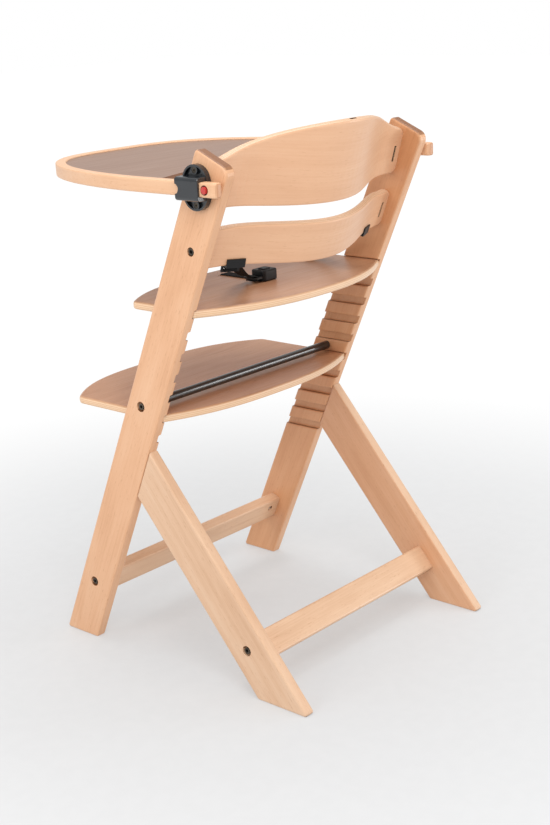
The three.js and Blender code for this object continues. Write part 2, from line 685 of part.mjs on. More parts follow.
const slotHalf = [CROTCH_SLOT_LENGTH / 2, CROTCH_SLOT_WIDE / 2];
const crotchSlot = alongZ(roundedShape([
  [-slotHalf[0], CROTCH_SLOT_Y - slotHalf[1]], [slotHalf[0], CROTCH_SLOT_Y - slotHalf[1]],
  [slotHalf[0], CROTCH_SLOT_Y + slotHalf[1]], [-slotHalf[0], CROTCH_SLOT_Y + slotHalf[1]],
], 2.9, 3), seatFloor - 2, seatTop + 2);
const seatBoard = cut(alongZ(boardShape(SEAT), seatFloor, seatTop, 3.5, 2), [crotchSlot]);
addPart('seat_board', seatBoard, PLY_TOP);
addPart('footrest_board', alongZ(boardShape(FOOTREST), footFloor, footFloor + BOARD_THICK, 3.5, 2), PLY_TOP);

// ---------- tray ----------
const trayLow = TRAY_MID_Z - TRAY_HEIGHT / 2;
const trayHigh = TRAY_MID_Z + TRAY_HEIGHT / 2;

function signedPower(value, power) {
  return Math.sign(value) * Math.abs(value) ** power;
}

// the curved front of the tray, from the left side round to the right, set in by some amount
function trayFront(inset) {
  const steps = 44;
  const halfWide = TRAY_OUTER_X - inset;
  const reach = TRAY_STRAIGHT_Y - TRAY_FRONT_Y - inset;
  const points = [];
  for (let i = 0; i <= steps; i += 1) {
    const angle = (Math.PI * i) / steps;
    points.push([
      halfWide * signedPower(Math.cos(angle), 2 / TRAY_WIDTH_POWER),
      TRAY_STRAIGHT_Y - reach * Math.sin(angle) ** (2 / TRAY_DEPTH_POWER),
    ]);
  }
  return points;
}

function trayPanelShape(inset) {
  const points = [];
  const halfWide = TRAY_OUTER_X - inset;
  const steps = 16;
  const rearY = (x) => PANEL_REAR_MID_Y + PANEL_REAR_CURVE * (x / 233) ** 2;
  for (let i = 0; i <= steps; i += 1) {
    const x = -halfWide + (2 * halfWide * i) / steps;
    points.push([x, rearY(x)]);
  }
  points.push(...trayFront(inset));
  return new THREE.Shape(points.reverse().map((point) => new THREE.Vector2(...point)));
}

// rounded end of an arm of the tray, from its outer face round to its inner face, for side +1 or -1
function armEnd(side) {
  const points = [];
  const outerTurn = [TRAY_OUTER_X - ARM_END_ROUND, 0];
  const innerTurn = [TRAY_OUTER_X - TRAY_RIM + ARM_END_ROUND, 1];
  for (const [x, first] of [outerTurn, innerTurn]) {
    for (let i = 0; i <= 4; i += 1) {
      const turn = (Math.PI / 2) * (first + i / 4);
      points.push([
        side * (x + ARM_END_ROUND * Math.cos(turn)),
        TRAY_ARM_END_Y - ARM_END_ROUND + ARM_END_ROUND * Math.sin(turn),
      ]);
    }
  }
  return points;
}

const frameOutline = [
  ...armEnd(1).reverse(), ...trayFront(0), ...armEnd(-1), ...trayFront(TRAY_RIM).reverse(),
].reverse().map((point) => new THREE.Vector2(...point));
const panelTop = trayHigh - PANEL_TOP_DROP;
const panelLow = panelTop - PANEL_THICK;
const grooveCut = alongZ(trayPanelShape(TRAY_RIM - PANEL_TONGUE - 0.3), panelLow - 0.2, panelTop + 0.2);
const latchHole = rodX(
  BUTTON_Y, TRAY_MID_Z, TRAY_OUTER_X - BUTTON_HOLE_DEPTH, TRAY_OUTER_X + 1, BUTTON_HOLE_RADIUS, 24);
const trayFrame = cut(
  alongZ(new THREE.Shape(frameOutline), trayLow, trayHigh, 2.5, 2),
  [grooveCut, latchHole, mirrored(latchHole)]);
addPart('tray_frame', trayFrame, BEECH);
addPart('tray_panel', alongZ(trayPanelShape(TRAY_RIM - PANEL_TONGUE), panelLow, panelTop), TRAY_GREY);

// ---------- tray brackets ----------
function stadium(halfWide, halfHigh, inset) {
  const outline = [];
  const radius = halfWide - inset;
  const spread = halfHigh - halfWide;
  for (let i = 0; i <= 14; i += 1) {
    const angle = (Math.PI * i) / 14;
    outline.push([BRACKET_Y + radius * Math.cos(angle), BRACKET_Z + spread + radius * Math.sin(angle)]);
  }
  for (let i = 0; i <= 14; i += 1) {
    const angle = Math.PI + (Math.PI * i) / 14;
    outline.push([BRACKET_Y + radius * Math.cos(angle), BRACKET_Z - spread + radius * Math.sin(angle)]);
  }
  return new THREE.Shape(outline.map((point) => new THREE.Vector2(...point)));
}

const plateBack = OUTER_X + 0.2;
const plate = alongX(stadium(BRACKET_HALF_WIDE, BRACKET_HALF_HIGH, 0), plateBack, BRACKET_RIM_X);
const pocket = alongX(
  stadium(BRACKET_HALF_WIDE, BRACKET_HALF_HIGH, 2.6), BRACKET_PLATE_X - 1.5, BRACKET_RIM_X + 1);
const bosses = [-1, 1].map((side) => rodX(
  BRACKET_Y, BRACKET_Z + side * SCREW_SPREAD, plateBack + 1, BRACKET_RIM_X - 0.4, 6, 20));
const sleeveShape = roundedShape([
  [TRAY_MID_Z - SLEEVE_HALF_HIGH, plateBack + 0.6], [TRAY_MID_Z + SLEEVE_HALF_HIGH, plateBack + 0.6],
  [TRAY_MID_Z + SLEEVE_HALF_HIGH, SLEEVE_OUTER_X], [TRAY_MID_Z - SLEEVE_HALF_HIGH, SLEEVE_OUTER_X],
], [0, 0, 5, 5], 4);
const channelHalf = TRAY_HEIGHT / 2 + SLEEVE_CLEAR;
const channelShape = new THREE.Shape([
  [TRAY_MID_Z - channelHalf, BRACKET_PLATE_X], [TRAY_MID_Z + channelHalf, BRACKET_PLATE_X],
  [TRAY_MID_Z + channelHalf, TRAY_OUTER_X + 0.4], [TRAY_MID_Z - channelHalf, TRAY_OUTER_X + 0.4],
].map((point) => new THREE.Vector2(...point)));
const channel = alongY(channelShape, SLEEVE_FRONT_Y - 30, SLEEVE_REAR_Y + 30);
const sleeve = alongY(sleeveShape, SLEEVE_FRONT_Y, SLEEVE_REAR_Y, 0.8, 1);
const notch = rodX(SLEEVE_FRONT_Y, TRAY_MID_Z, TRAY_OUTER_X - 3, SLEEVE_OUTER_X + 1, NOTCH_RADIUS, 24);
const bracketCuts = [channel, notch];
for (const side of [-1, 1]) {
  const z = BRACKET_Z + side * SCREW_SPREAD;
  bracketCuts.push(rodX(BRACKET_Y, z, plateBack - 1, BRACKET_RIM_X + 1, 2.2, 12));
  bracketCuts.push(rodX(BRACKET_Y, z, BRACKET_RIM_X - 3, BRACKET_RIM_X + 1, 4.3, 20));
}
const bracket = cut(join([cut(plate, [pocket]), ...bosses, sleeve]), bracketCuts);
addPart('bracket_left', bracket, BLACK_PLASTIC);
addPart('bracket_right', mirrored(bracket), BLACK_PLASTIC);

for (const [name, side] of [['lower', -1], ['upper', 1]]) {
  const z = BRACKET_Z + side * SCREW_SPREAD;
  const head = rodX(BRACKET_Y, z, BRACKET_RIM_X - 2.9, BRACKET_RIM_X - 0.9, 4.1, 20);
  const shank = rodX(BRACKET_Y, z, OUTER_X - 12, BRACKET_RIM_X - 2, 2, 12);
  const socket = rodX(BRACKET_Y, z, BRACKET_RIM_X - 2.2, BRACKET_RIM_X, 1.6, 6);
  const screw = cut(join([head, shank]), [socket]);
  addPart(`bracket_screw_left_${name}`, screw, BLACK_STEEL);
  addPart(`bracket_screw_right_${name}`, mirrored(screw), BLACK_STEEL);
}

// ---------- tray latch ----------
const holeFloor = TRAY_OUTER_X - BUTTON_HOLE_DEPTH;
const ringInner = TRAY_OUTER_X - 5;
const ringOuter = TRAY_OUTER_X - 3;
const shankEnd = TRAY_OUTER_X + BUTTON_PROUD;
const flangeInner = ringInner - 2.3;
const latchRing = cut(
  rodX(BUTTON_Y, TRAY_MID_Z, ringInner, ringOuter, BUTTON_HOLE_RADIUS - 0.1, 24),
  [rodX(BUTTON_Y, TRAY_MID_Z, ringInner - 1, ringOuter + 1, BUTTON_RADIUS + 0.3, 24)]);
const buttonBody = join([
  rodX(BUTTON_Y, TRAY_MID_Z, flangeInner, shankEnd - 0.8, BUTTON_RADIUS, 24),
  rodX(BUTTON_Y, TRAY_MID_Z, flangeInner, shankEnd, BUTTON_RADIUS - 0.8, 24),
  rodX(BUTTON_Y, TRAY_MID_Z, flangeInner, ringInner - 0.4, BUTTON_HOLE_RADIUS - 0.5, 24),
]);
const button = cut(buttonBody, [rodX(BUTTON_Y, TRAY_MID_Z, flangeInner - 1, shankEnd - 3, 3.4, 16)]);
const COIL_TURNS = 4;
const coilLength = shankEnd - 3 - holeFloor - 1.4;
const coilPath = [];
for (let i = 0; i <= COIL_TURNS * 12; i += 1) {
  const angle = (Math.PI * 2 * i) / 12;
  coilPath.push(new THREE.Vector3(
    holeFloor + 0.7 + (coilLength * i) / (COIL_TURNS * 12),
    BUTTON_Y + 2.5 * Math.cos(angle),
    TRAY_MID_Z + 2.5 * Math.sin(angle)));
}
const coilSection = new THREE.Shape(new THREE.EllipseCurve(0, 0, 0.4, 0.4).getPoints(6).slice(0, 6));
const latchSpring = new THREE.ExtrudeGeometry(coilSection, {
  steps: COIL_TURNS * 12,
  extrudePath: new THREE.CatmullRomCurve3(coilPath),
  bevelEnabled: false,
});
const latchRows = [
  ['latch_ring', latchRing, BLACK_PLASTIC],
  ['latch_button', button, RED_PLASTIC],
  ['latch_spring', latchSpring, ZINC],
];
for (const [name, piece, look] of latchRows) {
  addPart(`${name}_left`, piece, look);
  addPart(`${name}_right`, mirrored(piece), look);
}

// ---------- harness ----------
// crotch strap: held under the seat by a keeper bar, up through the slot, then back over the seat
const webZ = seatTop + 0.3 + WEB_THICK / 2;
const slotY = CROTCH_SLOT_Y;
const keeperTop = seatFloor - 0.3;
const keeperLow = keeperTop - 3;
const underKeeper = keeperLow - 0.3 - WEB_THICK / 2;
const keeper = alongZ(roundedShape([
  [-19, slotY + 3.2], [19, slotY + 3.2], [19, slotY + 13], [-19, slotY + 13],
], 1.5, 2), keeperLow, keeperTop);
addPart('crotch_strap_keeper', keeper, BLACK_PLASTIC);

const crotchPath = [
  [0, slotY + 15, underKeeper - 0.3], [0, slotY + 6, underKeeper - 0.1], [0, slotY + 2.4, underKeeper],
  [0, slotY + 0.2, underKeeper + 1.6], [0, slotY - 0.4, seatFloor + 2], [0, slotY - 0.2, seatTop - 2.5],
  [0, slotY + 1.6, webZ - 0.5], [0, slotY + 5, webZ], [BUCKLE_X * 0.5, slotY + 28, webZ],
  [BUCKLE_X, BUCKLE_FRONT_Y - 14, webZ + 0.4], [BUCKLE_X, BUCKLE_FRONT_Y - 3, webZ + 2.9],
  [BUCKLE_X, BUCKLE_FRONT_Y + 5, webZ + 3.9],
];
addPart('crotch_strap', band(crotchPath, crotchPath.map(() => [1, 0, 0])), BLACK_WEB);

// buckle: a mouth at the front for the crotch strap, and one at each side for a tongue
const buckleLow = seatTop + 0.4;
const buckleHigh = buckleLow + BUCKLE_HEIGHT;
const buckleHalf = BUCKLE_WIDTH / 2;
const buckleMidY = BUCKLE_FRONT_Y + BUCKLE_LENGTH / 2;
const tongueZ = buckleLow + TONGUE_RISE;
const mouthHalf = TONGUE_THICK / 2 + 0.6;

function buckleBox(x0, x1, y0, y1, radius) {
  return roundedShape([
    [BUCKLE_X + x0, y0], [BUCKLE_X + x1, y0], [BUCKLE_X + x1, y1], [BUCKLE_X + x0, y1],
  ], radius, 3);
}

function tongueMouth(x0, x1) {
  const mouth = buckleBox(x0, x1, buckleMidY - MOUTH_HALF, buckleMidY + MOUTH_HALF, 1);
  return alongZ(mouth, tongueZ - mouthHalf, tongueZ + mouthHalf);
}

const buckleOutline = buckleBox(-buckleHalf, buckleHalf, BUCKLE_FRONT_Y, BUCKLE_FRONT_Y + BUCKLE_LENGTH, 5);
const buckle = cut(alongZ(buckleOutline, buckleLow, buckleHigh, 2, 2), [
  tongueMouth(buckleHalf - MOUTH_DEEP, buckleHalf + 5),
  tongueMouth(-buckleHalf - 5, -buckleHalf + MOUTH_DEEP),
  alongZ(buckleBox(-11.5, 11.5, BUCKLE_FRONT_Y - 5, BUCKLE_FRONT_Y + 6, 1), webZ + 1.3, webZ + 6.9),
  alongZ(buckleBox(-9, 9, buckleMidY - 7, buckleMidY + 7, 4), buckleHigh - RELEASE_DEEP, buckleHigh + 1),
]);
addPart('buckle_body', buckle, BLACK_PLASTIC);
const release = alongZ(
  buckleBox(-8.7, 8.7, buckleMidY - 6.7, buckleMidY + 6.7, 3.7),
  buckleHigh - RELEASE_DEEP + RELEASE_TRAVEL + 0.3, buckleHigh + RELEASE_TRAVEL + 0.2, 0.8, 1);
addPart('buckle_release', release, BLACK_PLASTIC);

// tongue, drawn about the buckle's side: a blade that goes in and a wide head with a slot outside

function tongueBox(u0, u1, halfLong, radius, low, high) {
  return alongZ(roundedShape(
    [[u0, -halfLong], [u1, -halfLong], [u1, halfLong], [u0, halfLong]], radius, 3), low, high);
}

const tongueHalf = TONGUE_THICK / 2;
const blade = tongueBox(-MOUTH_DEEP + 1, 4, MOUTH_HALF - 0.7, 1, -tongueHalf, tongueHalf);
const tongueHead = tongueBox(1, TONGUE_REACH, WEB_WIDTH / 2 + 3, 3, -tongueHalf, tongueHalf);
const tongue = cut(
  join([blade, tongueHead]),
  [tongueBox(...TONGUE_SLOT, WEB_WIDTH / 2 + 0.7, 1, -tongueHalf - 1, tongueHalf + 1)]);
const UP = new THREE.Vector3(0, 0, 1);
const leftTonguePlace = new THREE.Matrix4()
  .setPosition(BUCKLE_X + buckleHalf, buckleMidY, tongueZ);
const freeTonguePlace = new THREE.Matrix4()
  .makeBasis(new THREE.Vector3(0, 1, 0), new THREE.Vector3(-1, 0, 0), UP)
  .setPosition(...FREE_TONGUE, seatTop + FREE_TONGUE_RISE);
addPart('buckle_tongue_left', tongue.clone().applyMatrix4(leftTonguePlace), BLACK_PLASTIC);
addPart('buckle_tongue_right', tongue.clone().applyMatrix4(freeTonguePlace), BLACK_PLASTIC);

// clip: a channel that grips the lower edge of the lower backrest, with a slotted tab in front
function lowerEdge(x) {
  const back = LOWER_BACK;
  const height = back.endLow + (back.midLow - back.endLow) * rise(x, back.lowHalf, back.lowPower);
  return new THREE.Vector3(
    ...backPoint(backFrame(back), x, height, back.bulge * rise(x, back.bulgeHalf, back.bulgePower)));
}

const backAlong = new THREE.Vector3(0, ...backFrame(LOWER_BACK).along);
const clipAlong = lowerEdge(CLIP_X + 1).sub(lowerEdge(CLIP_X - 1)).normalize();
const clipUp = backAlong.clone().addScaledVector(clipAlong, -backAlong.dot(clipAlong)).normalize();
const clipRear = new THREE.Vector3().crossVectors(clipUp, clipAlong);
const clipPlace = new THREE.Matrix4().makeBasis(clipRear, clipUp, clipAlong).setPosition(lowerEdge(CLIP_X));
const inside = PLY_THICK / 2 + CLIP_GAP;
const outside = inside + CLIP_WALL;
const clipShape = new THREE.Shape([
  [-outside, CLIP_FRONT_HIGH], [-outside, CLIP_TAB_LOW], [-inside, CLIP_TAB_LOW],
  [-inside, -CLIP_GAP - CLIP_WALL], [outside, -CLIP_GAP - CLIP_WALL], [outside, CLIP_REAR_HIGH],
  [inside, CLIP_REAR_HIGH], [inside, -CLIP_GAP], [-inside, -CLIP_GAP], [-inside, CLIP_FRONT_HIGH],
].map((point) => new THREE.Vector2(...point)));
const clipSlot = new THREE.BoxGeometry(CLIP_WALL + 2, 5, CLIP_SLOT_LENGTH)
  .translate(-inside - CLIP_WALL / 2, -10, 0);
const clip = cut(extrude(clipShape, CLIP_WIDTH, 0, 1).translate(0, 0, -CLIP_WIDTH / 2), [clipSlot])
  .applyMatrix4(clipPlace);
addPart('strap_clip_left', clip, BLACK_PLASTIC);
addPart('strap_clip_right', mirrored(clip), BLACK_PLASTIC);

// waist strap: through the clip's slot, on over the seat, and down through the tongue's slot
function waistStrap(side, tonguePlace, across, startPull, endPull) {
  const spots = [[-4.4, -15.5], [-4.8, -12], [-6.4, -10.2], [-9.2, -10], [-12, -10.3], [-17, -12]];
  const flip = new THREE.Vector3(side, 1, 1);
  const clipWidth = clipAlong.clone().multiply(flip);
  const path = spots.map(([rear, up]) => (
    new THREE.Vector3(rear, up, 0).applyMatrix4(clipPlace).multiply(flip)));
  const directions = path.map(() => clipWidth.clone());
  const atTongue = (u, up) => new THREE.Vector3(u, 0, up).applyMatrix4(tonguePlace);
  const start = path[path.length - 1];
  const end = atTongue(23, 4.4);
  const middle = new THREE.CubicBezierCurve3(
    start, start.clone().add(startPull), end.clone().add(endPull), end);
  const steps = 9;
  for (let i = 1; i <= steps; i += 1) {
    path.push(middle.getPoint(i / steps));
    directions.push(clipWidth.clone().lerp(across, i / steps));
  }
  for (const [u, up] of [[17, 3.6], [12.2, 2.9], [11, 1.2], [10.8, -1.2], [12, -3.2], [16, -3.6]]) {
    path.push(atTongue(u, up));
    directions.push(across.clone());
  }
  return band(path.map((point) => point.toArray()), directions.map((direction) => direction.toArray()));
}

addPart('waist_strap_left', waistStrap(
  1, leftTonguePlace, new THREE.Vector3(0, -1, 0),
  clipRear.clone().multiplyScalar(-12).add(new THREE.Vector3(-20, 0, -1)),
  new THREE.Vector3(20, 0, 6)), BLACK_WEB);
addPart('waist_strap_right', waistStrap(
  -1, freeTonguePlace, new THREE.Vector3(-1, 0, 0),
  new THREE.Vector3(-4, -22, -8),
  new THREE.Vector3(0, 34, 2)), BLACK_WEB);

export default group;
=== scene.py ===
"""Looks of the wooden high chair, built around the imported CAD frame.

Metres unless a comment says otherwise, +Z up, the child faces -Y.
"""
import json
import math

import bpy
from mathutils import Matrix, Vector


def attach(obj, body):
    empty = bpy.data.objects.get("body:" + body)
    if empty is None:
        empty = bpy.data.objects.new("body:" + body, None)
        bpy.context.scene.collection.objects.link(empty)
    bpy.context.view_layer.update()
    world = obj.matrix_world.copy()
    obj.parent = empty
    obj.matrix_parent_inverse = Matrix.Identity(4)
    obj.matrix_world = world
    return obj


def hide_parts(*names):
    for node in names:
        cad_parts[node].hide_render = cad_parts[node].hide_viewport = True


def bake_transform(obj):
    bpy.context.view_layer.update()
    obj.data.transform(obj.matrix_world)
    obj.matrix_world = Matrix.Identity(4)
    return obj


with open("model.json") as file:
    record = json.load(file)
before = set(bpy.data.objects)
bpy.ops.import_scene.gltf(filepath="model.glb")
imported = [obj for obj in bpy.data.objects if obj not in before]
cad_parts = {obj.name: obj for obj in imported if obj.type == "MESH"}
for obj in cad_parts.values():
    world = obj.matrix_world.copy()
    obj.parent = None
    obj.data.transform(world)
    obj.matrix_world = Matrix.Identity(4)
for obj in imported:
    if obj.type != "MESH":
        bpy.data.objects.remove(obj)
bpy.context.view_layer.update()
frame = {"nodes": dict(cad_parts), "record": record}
nodes = frame["nodes"]

MM = 0.001
DEPTH_MIDDLE = 232.9  # from the front feet back to the model's Y zero, in mm

# ---------- camera, fitted to the photograph's frame of 550 by 825 ----------
CAMERA_AT = Vector((1584.6, 1701.3 - DEPTH_MIDDLE, 1006.5)) * MM
CAMERA_YAW = 0.839405
CAMERA_PITCH = 0.295277
CAMERA_ROLL = -0.045185
FOCAL_PIXELS = 1411.88
IMAGE_HEIGHT = 825
SENSOR_HEIGHT = 36.0


def make_camera():
    forward = Vector((
        -math.sin(CAMERA_YAW) * math.cos(CAMERA_PITCH),
        -math.cos(CAMERA_YAW) * math.cos(CAMERA_PITCH),
        -math.sin(CAMERA_PITCH)))
    level = forward.cross(Vector((0, 0, 1))).normalized()
    upward = level.cross(forward)
    right = level * math.cos(CAMERA_ROLL) + upward * math.sin(CAMERA_ROLL)
    up = upward * math.cos(CAMERA_ROLL) - level * math.sin(CAMERA_ROLL)
    data = bpy.data.cameras.new("photo_camera")
    data.sensor_fit = "VERTICAL"
    data.sensor_height = SENSOR_HEIGHT
    data.lens = FOCAL_PIXELS * SENSOR_HEIGHT / IMAGE_HEIGHT
    data.clip_end = 60
    camera = bpy.data.objects.new("photo_camera", data)
    bpy.context.scene.collection.objects.link(camera)
    camera.matrix_world = Matrix((
        (right.x, up.x, -forward.x, CAMERA_AT.x),
        (right.y, up.y, -forward.y, CAMERA_AT.y),
        (right.z, up.z, -forward.z, CAMERA_AT.z),
        (0, 0, 0, 1)))
    bpy.context.scene.camera = camera


make_camera()
bpy.context.scene.view_settings.view_transform = "Standard"


# ---------- material building ----------
class Look:
    """A node material. Most methods add one node and return its output socket."""

    def __init__(self, name, roughness=0.5, **shader):
        self.material = bpy.data.materials.new(name)
        self.material.use_nodes = True
        self.tree = self.material.node_tree
        self.bsdf = self.tree.nodes["Principled BSDF"]
        self.bsdf.inputs["Roughness"].default_value = roughness
        for socket, value in shader.items():
            self.bsdf.inputs[socket.replace("_", " ")].default_value = value
        self.coord = self.tree.nodes.new("ShaderNodeTexCoord")
        self.place = self.coord.outputs["Object"]
        self.normal = self.coord.outputs["Normal"]

    def add(self, kind, inputs, output=0, **props):
        node = self.tree.nodes.new("ShaderNode" + kind)
        for key, value in props.items():
            setattr(node, key, value)
        for key, value in inputs.items():
            if value is None:
                continue
            if isinstance(value, bpy.types.NodeSocket):
                self.tree.links.new(value, node.inputs[key])
            else:
                node.inputs[key].default_value = value
        return node.outputs[output]

    def math(self, operation, a, b=None, c=None):
        return self.add("Math", {0: a, 1: b, 2: c}, operation=operation)

    def dot(self, vector, axis):
        return self.add("VectorMath", {0: vector, 1: axis}, "Value", operation="DOT_PRODUCT")

    def join(self, x, y, z):
        return self.add("CombineXYZ", {0: x, 1: y, 2: z})

    def split(self, vector):
        return self.add("SeparateXYZ", {0: vector}).node.outputs

    def scaled(self, vector, scales):
        return self.add("VectorMath", {0: vector, 1: scales}, operation="MULTIPLY")

    def noise(self, vector, scale, detail=3.0, roughness=0.55):
        return self.add("TexNoise", {
            "Vector": vector, "Scale": scale, "Detail": detail, "Roughness": roughness})

    def span(self, value, low, high, start=0.0, end=1.0):
        """A smooth step from start at low to end at high."""
        return self.add("MapRange", {
            "Value": value, "From Min": low, "From Max": high, "To Min": start, "To Max": end},
            interpolation_type="SMOOTHSTEP")

    def mix(self, factor, a, b, blend="MIX"):
        node = self.tree.nodes.new("ShaderNodeMix")
        node.data_type = "RGBA"
        node.blend_type = blend
        for key, value in (("Factor", factor), ("A", a), ("B", b)):
            socket = [s for s in node.inputs if s.name == key and s.enabled][0]
            if isinstance(value, bpy.types.NodeSocket):
                self.tree.links.new(value, socket)
            elif key == "Factor":
                socket.default_value = value
            else:
                socket.default_value = (*value, 1)
        return [s for s in node.outputs if s.enabled][0]

    def ramp(self, value, stops):
        node = self.tree.nodes.new("ShaderNodeValToRGB")
        elements = node.color_ramp.elements
        while len(elements) < len(stops):
            elements.new(0.5)
        for element, (position, colour) in zip(elements, stops):
            element.position = position
            element.color = (*colour, 1)
        self.tree.links.new(value, node.inputs[0])
        return node.outputs[0]

    def bump(self, height, strength, distance):
        result = self.add("Bump", {"Height": height, "Strength": strength, "Distance": distance})
        self.tree.links.new(result, self.bsdf.inputs["Normal"])

    def colour(self, socket):
        self.tree.links.new(socket, self.bsdf.inputs["Base Color"])

    def rough(self, socket):
        self.tree.links.new(socket, self.bsdf.inputs["Roughness"])


def from_srgb(red, green, blue):
    """A linear colour from 8-bit display values."""
    def linear(value):
        value /= 255
        return value / 12.92 if value <= 0.04045 else ((value + 0.055) / 1.055) ** 2.4
    return linear(red), linear(green), linear(blue)


BEECH_LIGHT = from_srgb(232, 192, 157)
BEECH_MIDDLE = from_srgb(224, 178, 140)
BEECH_DARK = from_srgb(203, 152, 112)
BEECH_FLECK = from_srgb(178, 122, 82)
END_LIGHT = from_srgb(144, 95, 58)
END_DARK = from_srgb(117, 72, 41)
ARM_END = from_srgb(196, 142, 104)
# painted shade, multiplied into the faces towards the middle of the chair high up between the
# backrests
HIGH_INNER_SHADE = (0.86, 0.80, 0.74)  # the inside of the side frames above the seat
PLY_CREAM = from_srgb(236, 202, 168)
PLY_TAN = from_srgb(220, 178, 138)
PLY_LINE = from_srgb(186, 140, 102)
PLY_THICK = 0.012
PLY_LAYERS = 9
BOARD_TONES = ((198, 151, 118), (186, 137, 103), (164, 110, 76), (140, 90, 60))
BACK_TONES = ((231, 188, 152), (222, 174, 137), (206, 154, 115), (188, 134, 94))
# painted shade: the backrests' cut edges are darker than the seat's, to tone down the top light on
# their upper edges
BACK_EDGE_SHADE = (0.88, 0.84, 0.84)
# painted shade inside the pocket in the upper backrest's top edge
POCKET_SHADE = from_srgb(74, 46, 28)
LAMINATE_TONES = ((151, 116, 94), (142, 107, 86), (129, 94, 74), (114, 82, 63))

# how much the growth rings, the fibres and the slow changes count in the tone of wood
RING_WEIGHT = 0.05
FIBRE_WEIGHT = 0.30
CLOUD_WEIGHT = 0.38
HEART_ACROSS = 0.13  # from the middle of the trunk, so that the rings are seen as wide arcs
HEART_THROUGH = 0.06
RING_WANDER = 0.11


def grain(look, cell, light, middle, dark, fleck, ring=0.02, contrast=1.0):
    """Colour of sawn wood in coordinates (along the fibres, across, through).

    Returns the colour, the fibres and the pores, for the roughness and the bump.
    """
    warp = look.noise(look.scaled(cell, (1.6, 7, 7)), 1.0, 2.0)
    _, cell_across, cell_through = look.split(cell)
    across = look.math("ADD", cell_across, HEART_ACROSS)
    through = look.math("ADD", cell_through, HEART_THROUGH)
    radius = look.math("SQRT", look.math("ADD", look.math("MULTIPLY", across, across),
                                         look.math("MULTIPLY", through, through)))
    wavy = look.math("ADD", radius, look.math("MULTIPLY", warp, RING_WANDER))
    rings = look.math("SINE", look.math("MULTIPLY", wavy, math.tau / ring))
    flame = look.span(rings, -1.0, 1.0)
    fibre = look.noise(look.scaled(cell, (9, 380, 380)), 1.0, 4.0, 0.62)
    cloud = look.noise(look.scaled(cell, (8, 26, 26)), 1.0, 3.0, 0.5)
    tone = look.math("MULTIPLY_ADD", flame, RING_WEIGHT * contrast,
                     look.math("MULTIPLY", fibre, FIBRE_WEIGHT * contrast))
    tone = look.math("ADD", tone, look.math("MULTIPLY", cloud, CLOUD_WEIGHT * contrast))
    centre = 0.5 * (RING_WEIGHT + FIBRE_WEIGHT + CLOUD_WEIGHT) * contrast
    base = look.ramp(tone, [(centre - 0.20, light), (centre, middle), (centre + 0.26, dark)])
    dots = look.noise(look.scaled(cell, (95, 900, 900)), 1.0, 1.0)
    specks = look.span(dots, 0.64, 0.80, 0.0, 0.6 * contrast)
    return look.mix(specks, base, fleck), fibre, dots


def finish_wood(look, colour, fibre, dots, gloss=0.42):
    """Satin lacquer over the grain; gloss is the mean roughness."""
    look.colour(colour)
    look.rough(look.span(fibre, 0.2, 0.8, gloss - 0.05, gloss + 0.1))
    height = look.math("ADD", look.math("MULTIPLY", fibre, 0.7), look.math("MULTIPLY", dots, 0.3))
    look.bump(height, 0.12, 0.0004)
    return look.material


def fibre_axes(along):
    """Unit vectors along the fibres, across them and through the plank."""
    along = Vector(along).normalized()
    side = Vector((1, 0, 0)) if abs(along.x) < 0.9 else Vector((0, 1, 0))
    return along, along.cross(side).normalized(), side


def tinted(colour, tint):
    return tuple(value * factor for value, factor in zip(colour, tint))


def tones_of(rows, tint=(1, 1, 1)):
    return [tinted(from_srgb(*row), tint) for row in rows]


def beech(name, along, shift, tint=(1, 1, 1), inner_shade=None):
    """Solid beech; the last argument is painted shade, multiplied into the faces towards the middle
    of the chair.
    """
    look = Look(name, Coat_Weight=0.12, Coat_Roughness=0.3)
    u, v, w = fibre_axes(along)
    spot = look.add("VectorMath", {0: look.place, 1: shift}, operation="ADD")
    cell = look.join(look.dot(spot, u), look.dot(spot, v), look.dot(spot, w))
    tones = [tinted(tone, tint) for tone in (BEECH_LIGHT, BEECH_MIDDLE, BEECH_DARK, BEECH_FLECK)]
    colour, fibre, dots = grain(look, cell, *tones)
    # painted shade: faces towards the middle of the chair are darkened, and darker still high up
    # above the seat
    if inner_shade:
        x, _, z = look.split(look.place)
        outward = look.math("MULTIPLY", look.dot(look.normal, (1, 0, 0)), look.math("SIGN", x))
        colour = look.mix(look.span(outward, -0.3, -0.8), colour, inner_shade, "MULTIPLY")
        high = look.math("MULTIPLY", look.span(z, 0.5, 0.8), look.span(outward, 0.2, -0.6))
        colour = look.mix(high, colour, HIGH_INNER_SHADE, "MULTIPLY")
    facing = look.math("ABSOLUTE", look.dot(look.normal, u))
    pores = look.noise(look.scaled(cell, (60, 700, 700)), 1.0, 3.0)
    end = look.mix(look.span(pores, 0.35, 0.7), END_LIGHT, END_DARK)
    colour = look.mix(look.span(facing, 0.72, 0.95), colour, end)
    return finish_wood(look, colour, fibre, dots)


